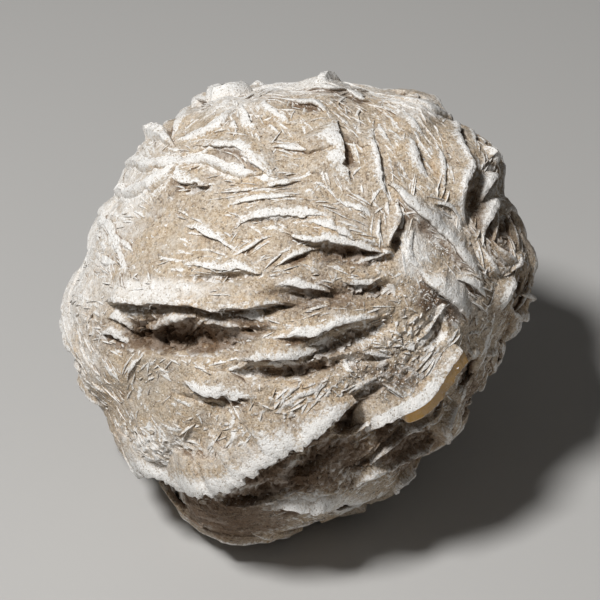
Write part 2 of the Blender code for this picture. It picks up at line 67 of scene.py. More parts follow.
# Blades of the show face: name, rim width, lift, side that the slot is on
# (D down, R right, B both, L left, C down and left, N no slot), rim line.
# Layout units.
BLADES = [
    # top left
    ("knob", 11, 11, "N", [(143, 137), (150, 129), (160, 133), (168, 139), (175, 147)]),
    ("band", 12, 5, "N", [(176, 140), (189, 134), (200, 128), (210, 123), (222, 116), (235, 108)]),
    ("shoulder", 15, 9, "N", [(203, 98), (212, 92), (222, 89), (232, 89), (240, 91)]),
    ("dome", 13, 8, "N", [(242, 92), (250, 87), (260, 85), (270, 86)]),
    ("lip_top", 3, 2, "D", [(240, 99), (248, 97), (257, 93)]),
    ("brow", 9, 5, "N", [(124, 161), (135, 161), (145, 159), (160, 158), (170, 157), (182, 157), (194, 155), (204, 155), (213, 158), (222, 162), (235, 164), (248, 169), (262, 171)]),
    ("brow_low", 9, 5, "N", [(112, 196), (120, 191), (128, 188), (139, 181), (150, 176), (160, 173), (166, 168), (172, 163), (180, 160)]),
    ("loop", 8, 5, "D", [(181, 161), (177, 167), (177, 173), (180, 178), (187, 180), (195, 181), (205, 182), (209, 183)]),
    ("hook", 8, 4, "D", [(194, 144), (206, 143.5), (218, 143), (230, 143), (238, 144), (243, 149), (248, 155), (257, 162), (265, 168), (270, 174), (280, 175)]),
    ("vein_1", 6, 3.5, "R", [(240, 104), (246, 116), (252, 126), (259, 137)]),
    ("vein_2", 3.4, 2.6, "R", [(232, 120), (237, 129)]),
    ("vein_3", 6, 3.5, "R", [(262, 100), (267, 104), (275, 111), (283, 117), (288, 124)]),
    ("vein_4", 3.4, 2.6, "R", [(268, 124), (278, 133)]),
    # top
    ("hood", 6, 4, "D", [(278, 98), (290, 98), (301, 100), (313, 100), (322, 106), (328, 114)]),
    ("spine", 12, 5.5, "R", [(330, 118), (332, 124), (335.5, 137), (339, 146), (339.5, 158), (343, 169), (346.5, 181), (349.5, 190)]),
    ("thin_14", 3, 2, "D", [(333, 111), (341, 118), (350, 126)]),
    ("bar", 5, 3.5, "D", [(268, 147), (283, 145), (300, 147), (314, 147), (327, 145)]),
    ("top_arc", 5, 3, "D", [(300, 92), (310, 88), (322, 86), (335, 87), (345, 88)]),
    ("crown", 8, 3, "D", [(345, 88), (353, 92), (362, 98), (370, 100)]),
    ("crown_2", 11, 6, "N", [(308, 85), (320, 80), (334, 78), (346, 82)]),
    ("crest", 12, 3, "N", [(390, 96), (405, 97), (420, 99), (430, 103), (440, 110), (450, 119)]),
    # middle shelves
    ("shelf_a", 5, 3.5, "D", [(263, 186), (276, 182), (288, 181), (300, 179)]),
    ("shelf_b", 3, 1.8, "D", [(212, 192), (230, 191), (250, 189), (265, 186)]),
    ("shelf_c", 4, 3, "D", [(228, 203), (246, 200), (261, 197), (278, 195), (295, 194)]),
    ("shelf_1", 7, 3, "D", [(231, 228), (239, 221), (250, 215.5), (265, 213.5), (279, 213.5), (294, 213), (307, 213), (320, 212), (333, 215)]),
    ("shelf_2", 6, 2, "D", [(341, 200), (350, 205), (362, 209), (372, 215)]),
    ("shelf_3", 7, 3, "D", [(307, 219), (320, 223), (332, 228), (344, 232), (355, 237)]),
    ("shelf_4", 6, 4, "D", [(279, 229), (291, 232), (302, 236), (315, 239), (327, 238), (339, 241), (351, 243), (366, 246), (377, 249), (385, 250)]),
    ("scale_0", 3, 2.5, "D", [(222, 258), (230, 255), (239, 252), (250, 246), (259, 240), (267, 236), (273, 235)]),
    ("scale_1", 6, 3.5, "D", [(187, 224), (200, 229), (210, 234), (221, 239), (230, 246), (239, 251)]),
    ("scale_2", 4, 4, "D", [(278, 263), (288, 257.5), (300, 252.5), (311, 249), (321, 246)]),
    ("scale_3", 7, 4, "D", [(181, 263), (194, 262.5), (206, 265), (218, 267), (233, 267), (247, 269.5), (261, 271)]),
    ("scale_4", 5, 3, "D", [(270, 284), (279, 282.5), (293, 283), (303, 286.5), (315, 287), (330, 290)]),
    ("scale_6", 4, 4, "D", [(341, 278), (350, 282), (360, 283), (370, 282), (376, 279)]),
    ("scale_5", 5, 5, "D", [(351, 262), (363, 261), (374, 257.5), (383, 252.5), (390, 251.5), (396, 258)]),
    # the ledge and what lies in its hollow
    ("ledge", 5, 3, "D", [(108, 300), (121, 301), (135, 302), (148, 302), (157, 301), (166, 302.5), (176, 302.5), (191, 302.5), (199, 307), (212, 308.5), (228, 306.5), (243, 306), (250, 305), (265, 302.5), (278, 302), (293, 302)]),
    ("hb1", 6, 5, "D", [(107, 315), (118, 319), (129, 325), (140, 330)]),
    ("hb2", 6, 5, "D", [(100, 329), (108, 333), (118, 338), (128, 341), (137, 343)]),
    ("hb3", 7, 7, "D", [(146, 325), (155, 325), (164, 323), (174, 319), (184, 317), (196, 315)]),
    ("hb8", 5, 4, "D", [(204, 322), (216, 322), (228, 325), (240, 324)]),
    ("hb4", 3, 2.5, "B", [(191, 331), (200, 323), (210, 316)]),
    ("hb5", 3, 2.5, "D", [(138, 332), (148, 327)]),
    ("hb6", 5, 3, "D", [(237, 313), (247, 316), (258, 317), (264, 320)]),
    ("hb7", 2.4, 1.6, "D", [(315, 323), (327, 320), (339, 318)]),
    # the middle lips
    ("lip_1", 6, 4.5, "D", [(268, 337), (278, 335.5), (290, 335.5), (303, 336.5), (313, 333), (326, 329), (341, 324.5), (356, 318.5), (368, 315.5), (378, 314)]),
    ("lip_2", 6.5, 5, "D", [(239, 355), (245, 357.5), (256, 358), (271, 357.5), (285, 357), (299, 355), (311, 351), (323, 345)]),
    ("lip_2b", 3, 2, "D", [(225, 370), (237, 368), (247, 362)]),
    ("lip_3", 8, 4, "D", [(181, 378), (191, 385), (201, 391.5), (210, 394), (222, 395), (237, 396.5), (250, 396.5), (258, 393)]),
    ("lip_3b", 2.4, 1.6, "D", [(213, 384), (230, 386)]),
    # lower middle
    ("cross_1", 3, 1.2, "B", [(278, 407), (285, 397.5), (294, 389), (305, 381)]),
    ("cross_2", 3, 1.2, "B", [(300, 396), (311, 391.5), (320, 386)]),
    ("cross_3", 3, 1.2, "B", [(244, 443), (250, 435), (259, 428)]),
    ("cross_4", 2.4, 1.6, "D", [(239, 421), (249, 421), (259, 419.5)]),
    ("low_1", 3, 2.5, "D", [(363, 351), (368, 354), (380, 355), (392, 356)]),
    ("low_2", 3, 3, "B", [(343, 358), (347, 366), (353, 372)]),
    ("low_3", 3, 3, "D", [(348, 392), (361, 385.5), (372, 379), (379, 376)]),
    ("low_4", 2.4, 2, "D", [(383, 383), (392, 389), (400, 394), (405, 398)]),
    ("big_rim", 16, 7.5, "B", [(138, 466), (150, 471), (160, 476), (170, 484), (182, 490), (196, 493.5), (210, 494), (222, 489.5), (234, 483), (246, 475), (258, 467), (269, 459), (279, 452), (290, 447), (300, 444), (307, 439), (314, 432), (325, 421), (335, 411), (345, 402), (353, 395)]),
    ("inner_rim", 5, 3, "D", [(179, 460), (189, 461), (199, 464.5), (211, 464.5), (222, 462)]),
    ("crease_1", 3, 2, "D", [(167, 446), (177, 452), (189, 458)]),
    ("crease_2", 3, 2, "D", [(206, 449), (218, 440)]),
    ("plate", 11, 7, "B", [(352, 437), (363.5, 433), (374.5, 428), (386.5, 423), (398, 418), (410, 413), (423, 406), (432, 398), (441, 385), (449, 372), (456, 360), (461, 349)]),
    ("fin_1", 3, 5, "D", [(444.5, 304), (439, 313.5), (433, 323), (427, 332), (419, 338)]),
    # right
    ("diagonal", 12, 8, "C", [(421, 267), (430, 278), (440, 285.5), (450, 293), (460, 302.5), (468, 311), (470, 318)]),
    ("diagonal_up", 9, 4.5, "C", [(391, 181), (400, 187), (407, 198), (416, 205), (423, 211), (433, 218.5), (442, 227), (452, 237), (460, 247), (468, 258), (476, 268), (484, 278)]),
    ("arm", 5, 1.8, "D", [(434, 202), (444, 203), (453, 208), (459, 216), (463, 226)]),
    ("column", 9, 1.4, "N", [(413, 230), (413, 245), (411, 258), (420, 267)]),
    ("fin_0", 4, 5, "R", [(398, 194), (397.5, 205), (400.5, 213), (399, 222), (394, 229.5), (390, 238), (387, 245)]),
    ("fin_00", 2.6, 2, "R", [(379, 214), (379, 230), (379, 241)]),
    ("fin_2", 5, 4, "R", [(371, 124), (373, 138), (376, 148), (379, 162), (381, 180), (384, 190), (387, 202)]),
    ("fin_2b", 4, 3, "R", [(378, 122), (384, 133), (390, 143), (394, 151)]),
    ("fin_2c", 4, 2, "D", [(378, 106), (390, 110.5), (400, 116)]),
    ("fin_2d", 6, 4, "R", [(401, 111), (410, 117), (416, 125), (421, 133), (424, 141)]),
    ("fin_3", 8, 5, "R", [(407, 135), (412, 147), (418, 158.5), (423, 171), (427, 180)]),
    ("fin_3b", 4.5, 3.5, "R", [(435, 142), (441.5, 154), (444.5, 166), (444, 177), (442, 194)]),
    ("fin_3c", 3, 2, "R", [(449, 143), (456, 153), (459, 161)]),
    ("fin_4", 6, 6.5, "R", [(452, 122), (458.5, 133), (464.5, 144), (470.5, 154), (474.5, 162), (472, 172), (467, 182), (464, 193), (463, 205), (463.5, 218), (466, 228)]),
    ("fin_4b", 4, 3, "R", [(461, 125), (468, 131), (474, 139), (478, 148)]),
    ("tooth_1", 13, 9, "N", [(484, 146), (492, 148), (497, 155), (493, 166)]),
    ("tooth_2", 7, 11, "R", [(495, 172), (489, 184), (484, 193), (477, 202)]),
    ("tooth_3", 7, 11, "R", [(496, 196), (494, 208), (490, 218.5), (485, 228), (481, 238)]),
    ("tooth_5", 4, 6, "R", [(480.5, 246), (488, 256), (494, 267), (500, 276)]),
    ("tooth_6", 4, 6, "R", [(491, 240), (501, 250), (510, 256), (518, 266)]),
    ("tooth_7", 5, 5, "D", [(519, 250), (520.5, 261), (517, 267), (510, 271)]),
    ("tooth_4", 7, 11, "R", [(513, 275), (514, 284), (510, 295), (505, 303), (500, 312)]),
    ("tooth_8", 2.4, 3, "D", [(505, 238), (511, 236), (517, 235)]),
    ("block_0", 6, 4, "D", [(458, 276), (470, 281), (480, 288), (486, 296)]),
    ("block_1", 7, 4, "D", [(469, 349), (472, 356), (479, 350)]),
    ("block_2", 7, 4, "D", [(484, 357), (490, 353), (496, 348)]),
    ("edge_1", 4, 6, "R", [(519, 294), (525.5, 302.5), (527, 313)]),
    ("edge_2", 4, 6, "R", [(509, 307), (514.5, 319.5), (516, 332), (512, 340)]),
    # lower right, under the plate
    ("under_0", 5, 12, "D", [(433, 415), (422, 424), (410, 432), (395, 443), (377, 457), (368, 464)]),
    ("under_1", 5, 12, "R", [(456, 402), (453, 414), (447, 427), (440, 438)]),
    ("under_2", 5, 12, "D", [(436, 437), (424, 449), (411, 458), (397, 466), (388, 471)]),
    ("under_3", 5, 10, "R", [(467, 413), (463, 425), (454, 434)]),
    ("under_4", 5, 11, "D", [(424, 462), (413, 472), (401, 480), (390, 486)]),
    ("under_5", 3, 2, "R", [(338, 486), (344, 477), (349, 467)]),
    ("under_6", 5, 9, "D", [(348, 487), (360, 483), (372, 477.5), (384, 473), (394, 467)]),
    ("low_plate_a", 10, 9, "D", [(270, 505), (283, 506), (295, 509), (305, 511), (318, 511), (328, 507), (333, 507)]),
    ("low_plate_b", 10, 9, "D", [(337, 509), (345, 510), (355, 508), (367, 502), (377, 500), (380, 491)]),
    ("chip", 4, 3, "D", [(389, 487), (394, 488), (401, 482)]),
    # left
    ("left_1", 8, 3.5, "N", [(104, 214), (111, 226), (115, 240), (121, 257), (126, 269), (130, 278)]),
    ("left_2", 6, 2.5, "N", [(120, 238), (128, 246), (134, 252)]),
    ("left_3", 6, 2.5, "N", [(95, 252), (101, 258), (117, 262)]),
    ("left_4", 3, 2, "R", [(143, 353), (136, 362), (129, 370), (126, 380)]),
    ("left_5", 2.4, 1.5, "R", [(105, 360), (111, 370), (117, 376)]),
    ("faint_1", 2, 1, "D", [(121, 222), (134, 222)]),
    ("faint_2", 2, 1, "D", [(133, 210), (145, 217)]),
    ("faint_3", 2, 1, "D", [(178, 210), (191, 217)]),
]

# Hollows of the show face: middle, half width, half height, depth, turn.
HOLLOWS = [
    (178, 338, 58, 14, 36, 2), (350, 254, 34, 10, 16, -6), (372, 290, 26, 9, 14, 0),
    (315, 295, 36, 6, 12, 0), (228, 279, 36, 5, 12, 0), (338, 342, 52, 11, 14, 18),
    (297, 368, 54, 9, 17, 6), (196, 190, 13, 5, 12, 0), (185, 506, 30, 16, 30, 0),
    (255, 494, 40, 12, 26, 24), (312, 458, 34, 12, 22, 38), (350, 416, 22, 12, 26, 45),
    (472, 190, 6, 40, 9, 0), (472, 376, 14, 15, 30, -30), (440, 410, 18, 6, 12, 50),
    (378, 447, 30, 7, 14, 30), (396, 243, 6, 10, 14, 0), (505, 226, 12, 14, 16, 0),
    (520, 285, 8, 12, 14, 0), (435, 326, 10, 15, 14, 0), (365, 391, 16, 5, 12, 12),
]

# Small pockets between the larger blades.
POCKETS = [
    (282, 306, 12, 2.5, 9, 0), (263, 311, 10, 2.5, 8, 0), (257, 329, 15, 3, 9, 0),
    (203, 401, 22, 3, 8, 0), (200, 468, 22, 4, 10, 0), (375, 358, 15, 4, 8, 0),
]

# ------------------------------------------------------------ frame of the face
_e = math.radians(FACE_ELEVATION)
RIGHT = np.array([1.0, 0.0, 0.0])
UP = np.array([0.0, math.sin(_e), math.cos(_e)])
OUT = np.array([0.0, -math.cos(_e), math.sin(_e)])
SIDES = {"D": -UP, "R": RIGHT, "B": RIGHT - UP, "L": -RIGHT, "C": -RIGHT - UP, "N": None}


def unit(v):
    return v / np.maximum(np.linalg.norm(v, axis=-1, keepdims=True), 1e-12)


def smooth(a, b, x):
    t = np.clip((x - a) / (b - a), 0, 1)
    return t * t * (3 - 2 * t)


def outline_table(steps=720):
    pts = np.array([((x - LAY_X) * LU, (LAY_Y - y) * LU) for x, y in OUTLINE])
    n = len(pts)
    fine = []
    for i in range(n):
        p0, p1, p2, p3 = pts[i - 1], pts[i], pts[(i + 1) % n], pts[(i + 2) % n]
        for t in np.linspace(0, 1, 12, endpoint=False):
            fine.append(0.5 * ((2 * p1) + (p2 - p0) * t + (2 * p0 - 5 * p1 + 4 * p2 - p3) * t * t
                               + (3 * p1 - p0 - 3 * p2 + p3) * t ** 3))
    fine = np.array(fine)
    ang = np.arctan2(fine[:, 1], fine[:, 0])
    rad = np.hypot(fine[:, 0], fine[:, 1])
    order = np.argsort(ang)
    grid = np.linspace(-math.pi, math.pi, steps, endpoint=False)
    return grid, np.interp(grid, ang[order], rad[order], period=2 * math.pi) - INSET


ANGLES, RADII = outline_table()


def ball_radius(d):
    x, y, z = d @ RIGHT, d @ UP, d @ OUT
    rim = np.interp(np.arctan2(y, x), ANGLES, RADII, period=2 * math.pi)
    return 1.0 / np.sqrt((x * x + y * y) / rim ** 2 + (z / FACE_DEPTH) ** 2)


def throw(x, y):
    """Point of the plain ball under the layout point (x, y), ball at 0."""
    flat = (x - LAY_X) * LU * RIGHT + (LAY_Y - y) * LU * UP
    eye = OUT * APEX
    ray = unit(flat - eye)
    s = APEX - 60 * MM + 65 * MM * np.arange(400) / 399
    q = eye + s[:, None] * ray
    inside = np.linalg.norm(q, axis=1) <= ball_radius(unit(q))
    if not inside.any():
        d = unit(flat)
        return d * ball_radius(d[None])[0]
    d = unit(q[np.argmax(inside)])
    return d * ball_radius(d[None])[0]


# ----------------------------------------------------------------------- noise
def lattice(ix, iy, iz, seed):
    h = (ix * 374761393 + iy * 668265263 + iz * 2147483647 + seed * 1274126177) & 0xFFFFFFFF
    h = ((h ^ (h >> 13)) * 1274126177) & 0xFFFFFFFF
    h = h ^ (h >> 16)
    return (h & 0xFFFF) / 32767.5 - 1.0


def noise(p, size, seed):
    """Smooth noise in -1..1 with features about `size` across."""
    q = p / size + 1000.0
    i = np.floor(q).astype(np.int64)
    f = q - i
    f = f * f * f * (f * (f * 6 - 15) + 10)
    x, y, z = i[:, 0], i[:, 1], i[:, 2]
    out = np.zeros(len(p))
    for dx in (0, 1):
        wx = f[:, 0] if dx else 1 - f[:, 0]
        for dy in (0, 1):
            wy = f[:, 1] if dy else 1 - f[:, 1]
            for dz in (0, 1):
                wz = f[:, 2] if dz else 1 - f[:, 2]
                out += wx * wy * wz * lattice(x + dx, y + dy, z + dz, seed)
    return out


# ------------------------------------------------------------------ the blades
# Blades turned towards the show side, and blades less white than the rest.
FACING = {"plate": 1.5, "big_rim": 0.5, "low_plate_a": 1.4, "low_plate_b": 1.4, "under_0": 1.3, "under_1": 1.3,
          "under_2": 1.3, "under_3": 1.3, "under_4": 1.3, "under_6": 1.3, "ledge": 0.3}
WHITE = {"ledge": 0.6, "under_0": 0.85, "under_1": 0.8, "under_2": 0.85, "under_3": 0.75, "under_4": 0.85,
         "under_6": 0.75, "mid": 0.8, "back": 0.8, "lip_2b": 0.7, "fin_0": 0.8, "shelf_b": 0.8}


# Blades that grew straight, with little wander in their rims.
STRAIGHT = {key: 0.5 for key in ("diagonal", "diagonal_up", "tooth_1", "tooth_2", "tooth_3", "tooth_4", "tooth_5",
                                  "tooth_6", "block_0", "block_1", "fin_3", "fin_4", "fin_0", "fin_3b", "arm")}
SHALLOW = {key: 0.55 for key in ("vein_1", "vein_2", "vein_3", "vein_4", "bar", "hook", "shelf_a", "shelf_b",
                                 "shelf_c", "shelf_1", "shelf_2", "scale_1", "scale_3", "fin_00", "fin_2",
                                 "fin_2b", "fin_2c", "fin_2d", "fin_3", "fin_3b", "fin_3c", "spine", "thin_14",
                                 "cross_1", "cross_2", "cross_3", "cross_4", "loop", "band", "diagonal_up", "diagonal", "arm",
                                 "fin_4")}


class Blade:
    """A rim line on the plain ball, with its frame and size at each station."""

    def __init__(self, pts, width, lift, side, pitch, rng, name=""):
        pts = np.array(pts)
        seg = np.linalg.norm(np.diff(pts, axis=0), axis=1)
        along = np.concatenate([[0], np.cumsum(seg)])
        count = max(5 if name == "fine" else 6, int(along[-1] / pitch) + 1)
        s = np.linspace(0, along[-1], count)
        p = np.stack([np.interp(s, along, pts[:, k]) for k in range(3)], axis=1)
        for _ in range(int(2.5 * MM / pitch)):
            p[1:-1] = 0.5 * p[1:-1] + 0.25 * (p[:-2] + p[2:])
        self.n = unit(p)
        self.p = self.n * ball_radius(self.n)[:, None]
        self.t = unit(np.gradient(self.p, axis=0))
        across = unit(np.cross(self.n, self.t))
        self.name = name
        self.slot = side is not None
        if self.slot and np.sum(across @ side) < 0:
            across = -across
        self.s = across
        if name in FACING:                   # stands out towards the show side
            n = self.n + FACING[name] * OUT
            self.n = unit(n - self.t * np.sum(n * self.t, axis=1, keepdims=True))
            s = unit(np.cross(self.n, self.t))
            self.s = s if np.sum(s * across) > 0 else -s
            s = np.linspace(0, along[-1], count)
        tip = min(0.38 * along[-1], 4.5 * MM)
        left = along[-1] - s
        if name == "plate":                  # broken off square at its far end
            left = left * 8
        self.taper = np.clip(np.minimum(s, left) / tip, 0, 1) ** 0.75
        self.width = width
        self.lift = lift
        self.cut = SHALLOW.get(name, 1.0)
        self.mid = self.p[count // 2]
        self.reach = np.max(np.linalg.norm(self.p - self.mid, axis=1))
        # worn and chipped: the rim wanders, thickens and dips
        x_mm = s / MM

        def wander(cell):
            knots = rng.uniform(-1, 1, int(x_mm[-1] / cell) + 4)
            x = x_mm / cell
            i = x.astype(int)
            f = x - i
            f = f * f * (3 - 2 * f)
            return knots[i] * (1 - f) + knots[i + 1] * f

        def broken(cell):
            """Steps of uneven length: an edge that has split away in flakes."""
            knots = rng.uniform(-1, 1, int(x_mm[-1] / cell) + 6)
            x = x_mm / cell + 0.8 * wander(1.7 * cell) + 1.5
            x = np.clip(x, 0, len(knots) - 2.001)
            i = x.astype(int)
            f = np.clip((x - i - 0.72) / 0.28, 0, 1)
            return knots[i] * (1 - f) + knots[i + 1] * f
        size = np.clip(width / (0.9 * MM), 0.3, 1.3)
        loose = STRAIGHT.get(name, 1.0)
        self.jig = (0.10 * wander(3.2) + 0.07 * broken(1.6)) * MM * size * loose
        self.w = width * (1 + loose * (0.26 * wander(3.6) + 0.22 * broken(1.5)))
        self.h = lift * (1 + loose * (0.20 * wander(3.4) + 0.16 * broken(1.8)))
        self.chip = (0.60 * np.maximum(broken(1.3), 0) + 0.30 * np.maximum(broken(0.7), 0)) * loose
        self.white = np.clip(0.85 + 0.30 * wander(2.6) + 0.15 * wander(1.1), 0.3, 1.0) * WHITE.get(name, 1.0)
        if name == "plate":
            self.jig, self.w, self.chip = 0.4 * self.jig, width * (0.6 + 0.4 * self.w / width), 0.25 * self.chip
        self.seat = self.p                  # where it stands, set by seat_blades


def other_blades(rng):
    """The same large blades on the back as the CAD solid has."""
    out = []
    count = 240
    golden = math.pi * (3 - math.sqrt(5))
    for i in range(count):
        z = 1 - 2 * (i + 0.5) / count
        a = golden * i
        d = np.array([math.sqrt(1 - z * z) * math.cos(a), math.sqrt(1 - z * z) * math.sin(a), z])
        d = unit(d + rng.normal(0, 0.07, 3))
        length = rng.uniform(10, 22) * MM
        width = rng.uniform(1.0, 1.8) * MM
        lift = rng.uniform(0.9, 1.8) * MM
        turn = rng.normal(0, 0.35)
        bend = rng.uniform(-0.035, 0.035) / MM * 0.5
        if d @ OUT > 0.16 or d[2] < -0.88:
            continue
        axis = unit(np.array([0.25, 0.35 + 0.3 * math.sin(3 * a), 1.0]))
        east = unit(np.cross(axis, d))
        north = np.cross(d, east)
        line = []
        for s in np.linspace(-0.5, 0.5, 9) * length:
            w = turn + bend * s
            q = unit(d * 35 * MM + east * math.cos(w) * s + north * (math.sin(w) * s))
            line.append(q * ball_radius(q[None])[0])
        if d @ OUT > -0.30:                  # kept low along the outline of the show side
            lift *= 0.65 if d @ RIGHT < 0 else 0.5
        out.append((line, width, lift, -north))
    return out


def middling_blades(rng, count=620):
    """Blades of middle size that fill in between the large ones on the back
    and around the outline."""
    out = []
    golden = math.pi * (3 - math.sqrt(5))
    for i in range(count):
        z = 1 - 2 * (i + 0.5) / count
        a = golden * i + 1.7
        d = np.array([math.sqrt(1 - z * z) * math.cos(a), math.sqrt(1 - z * z) * math.sin(a), z])
        d = unit(d + rng.normal(0, 0.06, 3))
        draw = rng.uniform(size=6)
        turn = rng.normal(0, 0.30)
        facing = d @ OUT
        if facing > 0.12 and not (d @ RIGHT > 0.72 and facing < 0.5) or d[2] < -0.90 or draw[0] > 0.75:
            continue
        axis = unit(np.array([0.25, 0.35 + 0.3 * math.sin(3 * a), 1.0]))
        if facing > -0.2 and d @ RIGHT > 0.5:          # upright fins on the right
            axis = -RIGHT
        east = unit(np.cross(axis, d))
        north = np.cross(d, east)
        length = (3.5 + 7.0 * draw[1]) * MM
        width = (0.40 + 0.55 * draw[2] ** 1.5) * MM
        lift = (0.35 + 0.55 * draw[3]) * MM * (0.6 if facing > -0.3 else 1.0)
        bend = (draw[4] - 0.5) * 40
        line = []
        for s in np.linspace(-0.5, 0.5, 7) * length:
            w = turn + bend * s
            q = unit(d * 35 * MM + east * math.cos(w) * s + north * (math.sin(w) * s))
            line.append(q * ball_radius(q[None])[0])
        out.append(Blade(line, width, lift, -north if draw[5] < 0.85 else north, 0.60 * MM, rng, "mid"))
    return out


def slot_depth(points, blades, deep=0.9, wide=2.2):
    cut = np.zeros(len(points))
    for b in blades:
        if not b.slot:
            continue
        wd = wide * b.width
        near = np.nonzero(np.linalg.norm(points - b.mid, axis=1) < b.reach + 3 * wd)[0]
        if not len(near):
            continue
        q = points[near]
        k = np.argmin(np.linalg.norm(q[:, None] - b.p[None], axis=2), axis=1)
        r = q - b.p[k]
        across = np.einsum("ij,ij->i", r, b.s[k])
        along = np.abs(np.einsum("ij,ij->i", r, b.t[k]))
        rise = np.clip((across + 0.6 * b.width) / (0.6 * b.width), 0, 1)
        fall = np.exp(-(np.maximum(across, 0) / wd) ** 2)
        ends = np.exp(-(np.maximum(along - 1.0 * MM, 0) / (1.5 * MM)) ** 2)
        cut[near] = np.maximum(cut[near], deep * b.cut * b.lift * b.taper[k] * rise * fall * ends)
    return cut


def small_slots(points, fine):
    """The same for the many small blades: only the nearest one counts."""
    p, s, t = (np.concatenate([getattr(b, key) for b in fine]) for key in "pst")
    width = np.concatenate([np.full(len(b.p), b.width) for b in fine])
    lift = np.concatenate([b.lift * b.taper for b in fine])
    tree = kdtree.KDTree(len(p))
    for i, c in enumerate(p):
        tree.insert(c, i)
    tree.balance()
    k = np.array([tree.find(c)[1] for c in points])
    r = points - p[k]
    across = np.einsum("ij,ij->i", r, s[k])
    along = np.abs(np.einsum("ij,ij->i", r, t[k]))
    w = width[k]
    rise = np.clip((across + 0.6 * w) / (0.6 * w), 0, 1)
    return 0.65 * lift[k] * rise * np.exp(-(np.maximum(across, 0) / (1.5 * w)) ** 2) \
        * np.exp(-(np.maximum(along - 0.3 * MM, 0) / (0.4 * MM)) ** 2)


def _hollow_frames():
    out = []
    for x, y, rx, ry, deep, turn in HOLLOWS + POCKETS:
        c = throw(x, y)
        n = unit(c)
        ex = unit(RIGHT - n * (RIGHT @ n))
        ey = np.cross(n, ex)
        w = math.radians(turn)
        out.append((c, ex * math.cos(w) + ey * math.sin(w), ey * math.cos(w) - ex * math.sin(w), n, rx, ry, deep))
    return out


HOLLOW_FRAMES = _hollow_frames()


def hollow_depth(points):
    cut = np.zeros(len(points))
    for c, ax, ay, n, rx, ry, deep in HOLLOW_FRAMES:
        r = points - c
        u, v, h = r @ ax / (rx * LU), r @ ay / (ry * LU), r @ n / (14 * MM)
        cut = np.maximum(cut, deep * LU * np.exp(-(u * u + v * v) ** 1.5 - h * h))
    facing = np.clip(unit(points) @ OUT, 0, 1)
    return cut * np.clip(facing * 6, 0, 1)


def lump_table(rng):
    return [(unit(rng.normal(size=3)), rng.uniform(0.25, 0.5), rng.uniform(-0.7, 0.7) * MM) for _ in range(26)]


# Large blades that the mass above them is banked up to: height and length of
# the bank, in layout units.
BANKS = {
    "ledge": (15, 46), "big_rim": (11, 46), "lip_1": (6, 24), "lip_2": (7, 26), "plate": (11, 36),
    "shelf_4": (7, 24), "low_plate_a": (5, 14), "low_plate_b": (5, 14), "lip_3": (6, 22), "scale_3": (5, 20),
    "shelf_1": (4, 16), "spine": (5, 26), "fin_4": (5, 14),
    "under_1": (6, 12), "under_2": (7, 14), "under_4": (6, 12), "under_6": (6, 14), "scale_5": (4, 16), "scale_1": (3, 16),
    "fin_3": (4, 16), "fin_2": (3, 18), "diagonal_up": (5, 18), "under_0": (8, 16), "hook": (4, 18),
}


def bank_height(points, blades):
    """Long gentle bank on the upper side of each large blade, ending in a step."""
    out = np.zeros(len(points))
    for b in blades:
        if b.name in ("back", "mid"):
            high, long = 0.55 * b.lift, min(2.6 * MM, 2.4 * b.width)
        elif b.name in BANKS:
            high, long = BANKS[b.name][0] * LU, BANKS[b.name][1] * LU
        else:
            continue
        near = np.nonzero(np.linalg.norm(points - b.mid, axis=1) < b.reach + 2.2 * long)[0]
        if not len(near):
            continue
        step = max(1, int(0.8 * MM / np.linalg.norm(b.p[1] - b.p[0])))
        q, bp, bs, taper = points[near], b.p[::step], b.s[::step], b.taper[::step]
        r2 = np.sum(q * q, axis=1)[:, None] + np.sum(bp * bp, axis=1)[None] - 2 * q @ bp.T
        r2 = np.maximum(r2, 0)
        least = r2.min(axis=1, keepdims=True)
        # stations blended, more widely further off, so that no creases show
        blend = 2 * (0.5 * MM) ** 2 + 0.35 * least
        w = np.exp(-(r2 - least) / blend)
        w /= w.sum(axis=1, keepdims=True)
        across = np.sum(w * (q @ bs.T - np.sum(bp * bs, axis=1)[None]), axis=1)
        far = np.maximum(-across, 0)
        past = np.sqrt(np.maximum(least[:, 0] - across ** 2, 0))
        rise = np.exp(-(far / long) ** 1.6) * smooth(0.45 * b.width, -0.15 * b.width, across)
        ends = np.exp(-(np.maximum(past - 0.6 * MM, 0) / (0.4 * long)) ** 2)
        span = np.clip(w @ taper, 0, 1) ** 0.7
        if b.name not in ("back", "mid"):    # nothing is banked up over the outline
            high = high * smooth(0.12, 0.60, unit(q) @ OUT)
        out[near] = np.maximum(out[near], high * span * rise * ends)
    return out


def ground(points, blades, table):
    """The skin of the mass over points of the plain ball, slots left out."""
    d = unit(points)
    swell = np.zeros(len(points))
    for c, size, high in table:
        swell += high * np.exp(-np.sum((d - c) ** 2, axis=1) / size ** 2)
    swell += 0.22 * MM * noise(points, 7.0 * MM, 11) + 0.09 * MM * noise(points, 3.2 * MM, 12)
    hollow = hollow_depth(points)
    # hollows have a torn, stepped bed
    torn = 1 + 0.20 * noise(points, 4.0 * MM, 13) + 0.18 * noise(points, 1.6 * MM, 14)
    bank = bank_height(points, blades)
    return points + d * (swell + bank)[:, None] - OUT * (hollow * torn)[:, None], hollow, bank


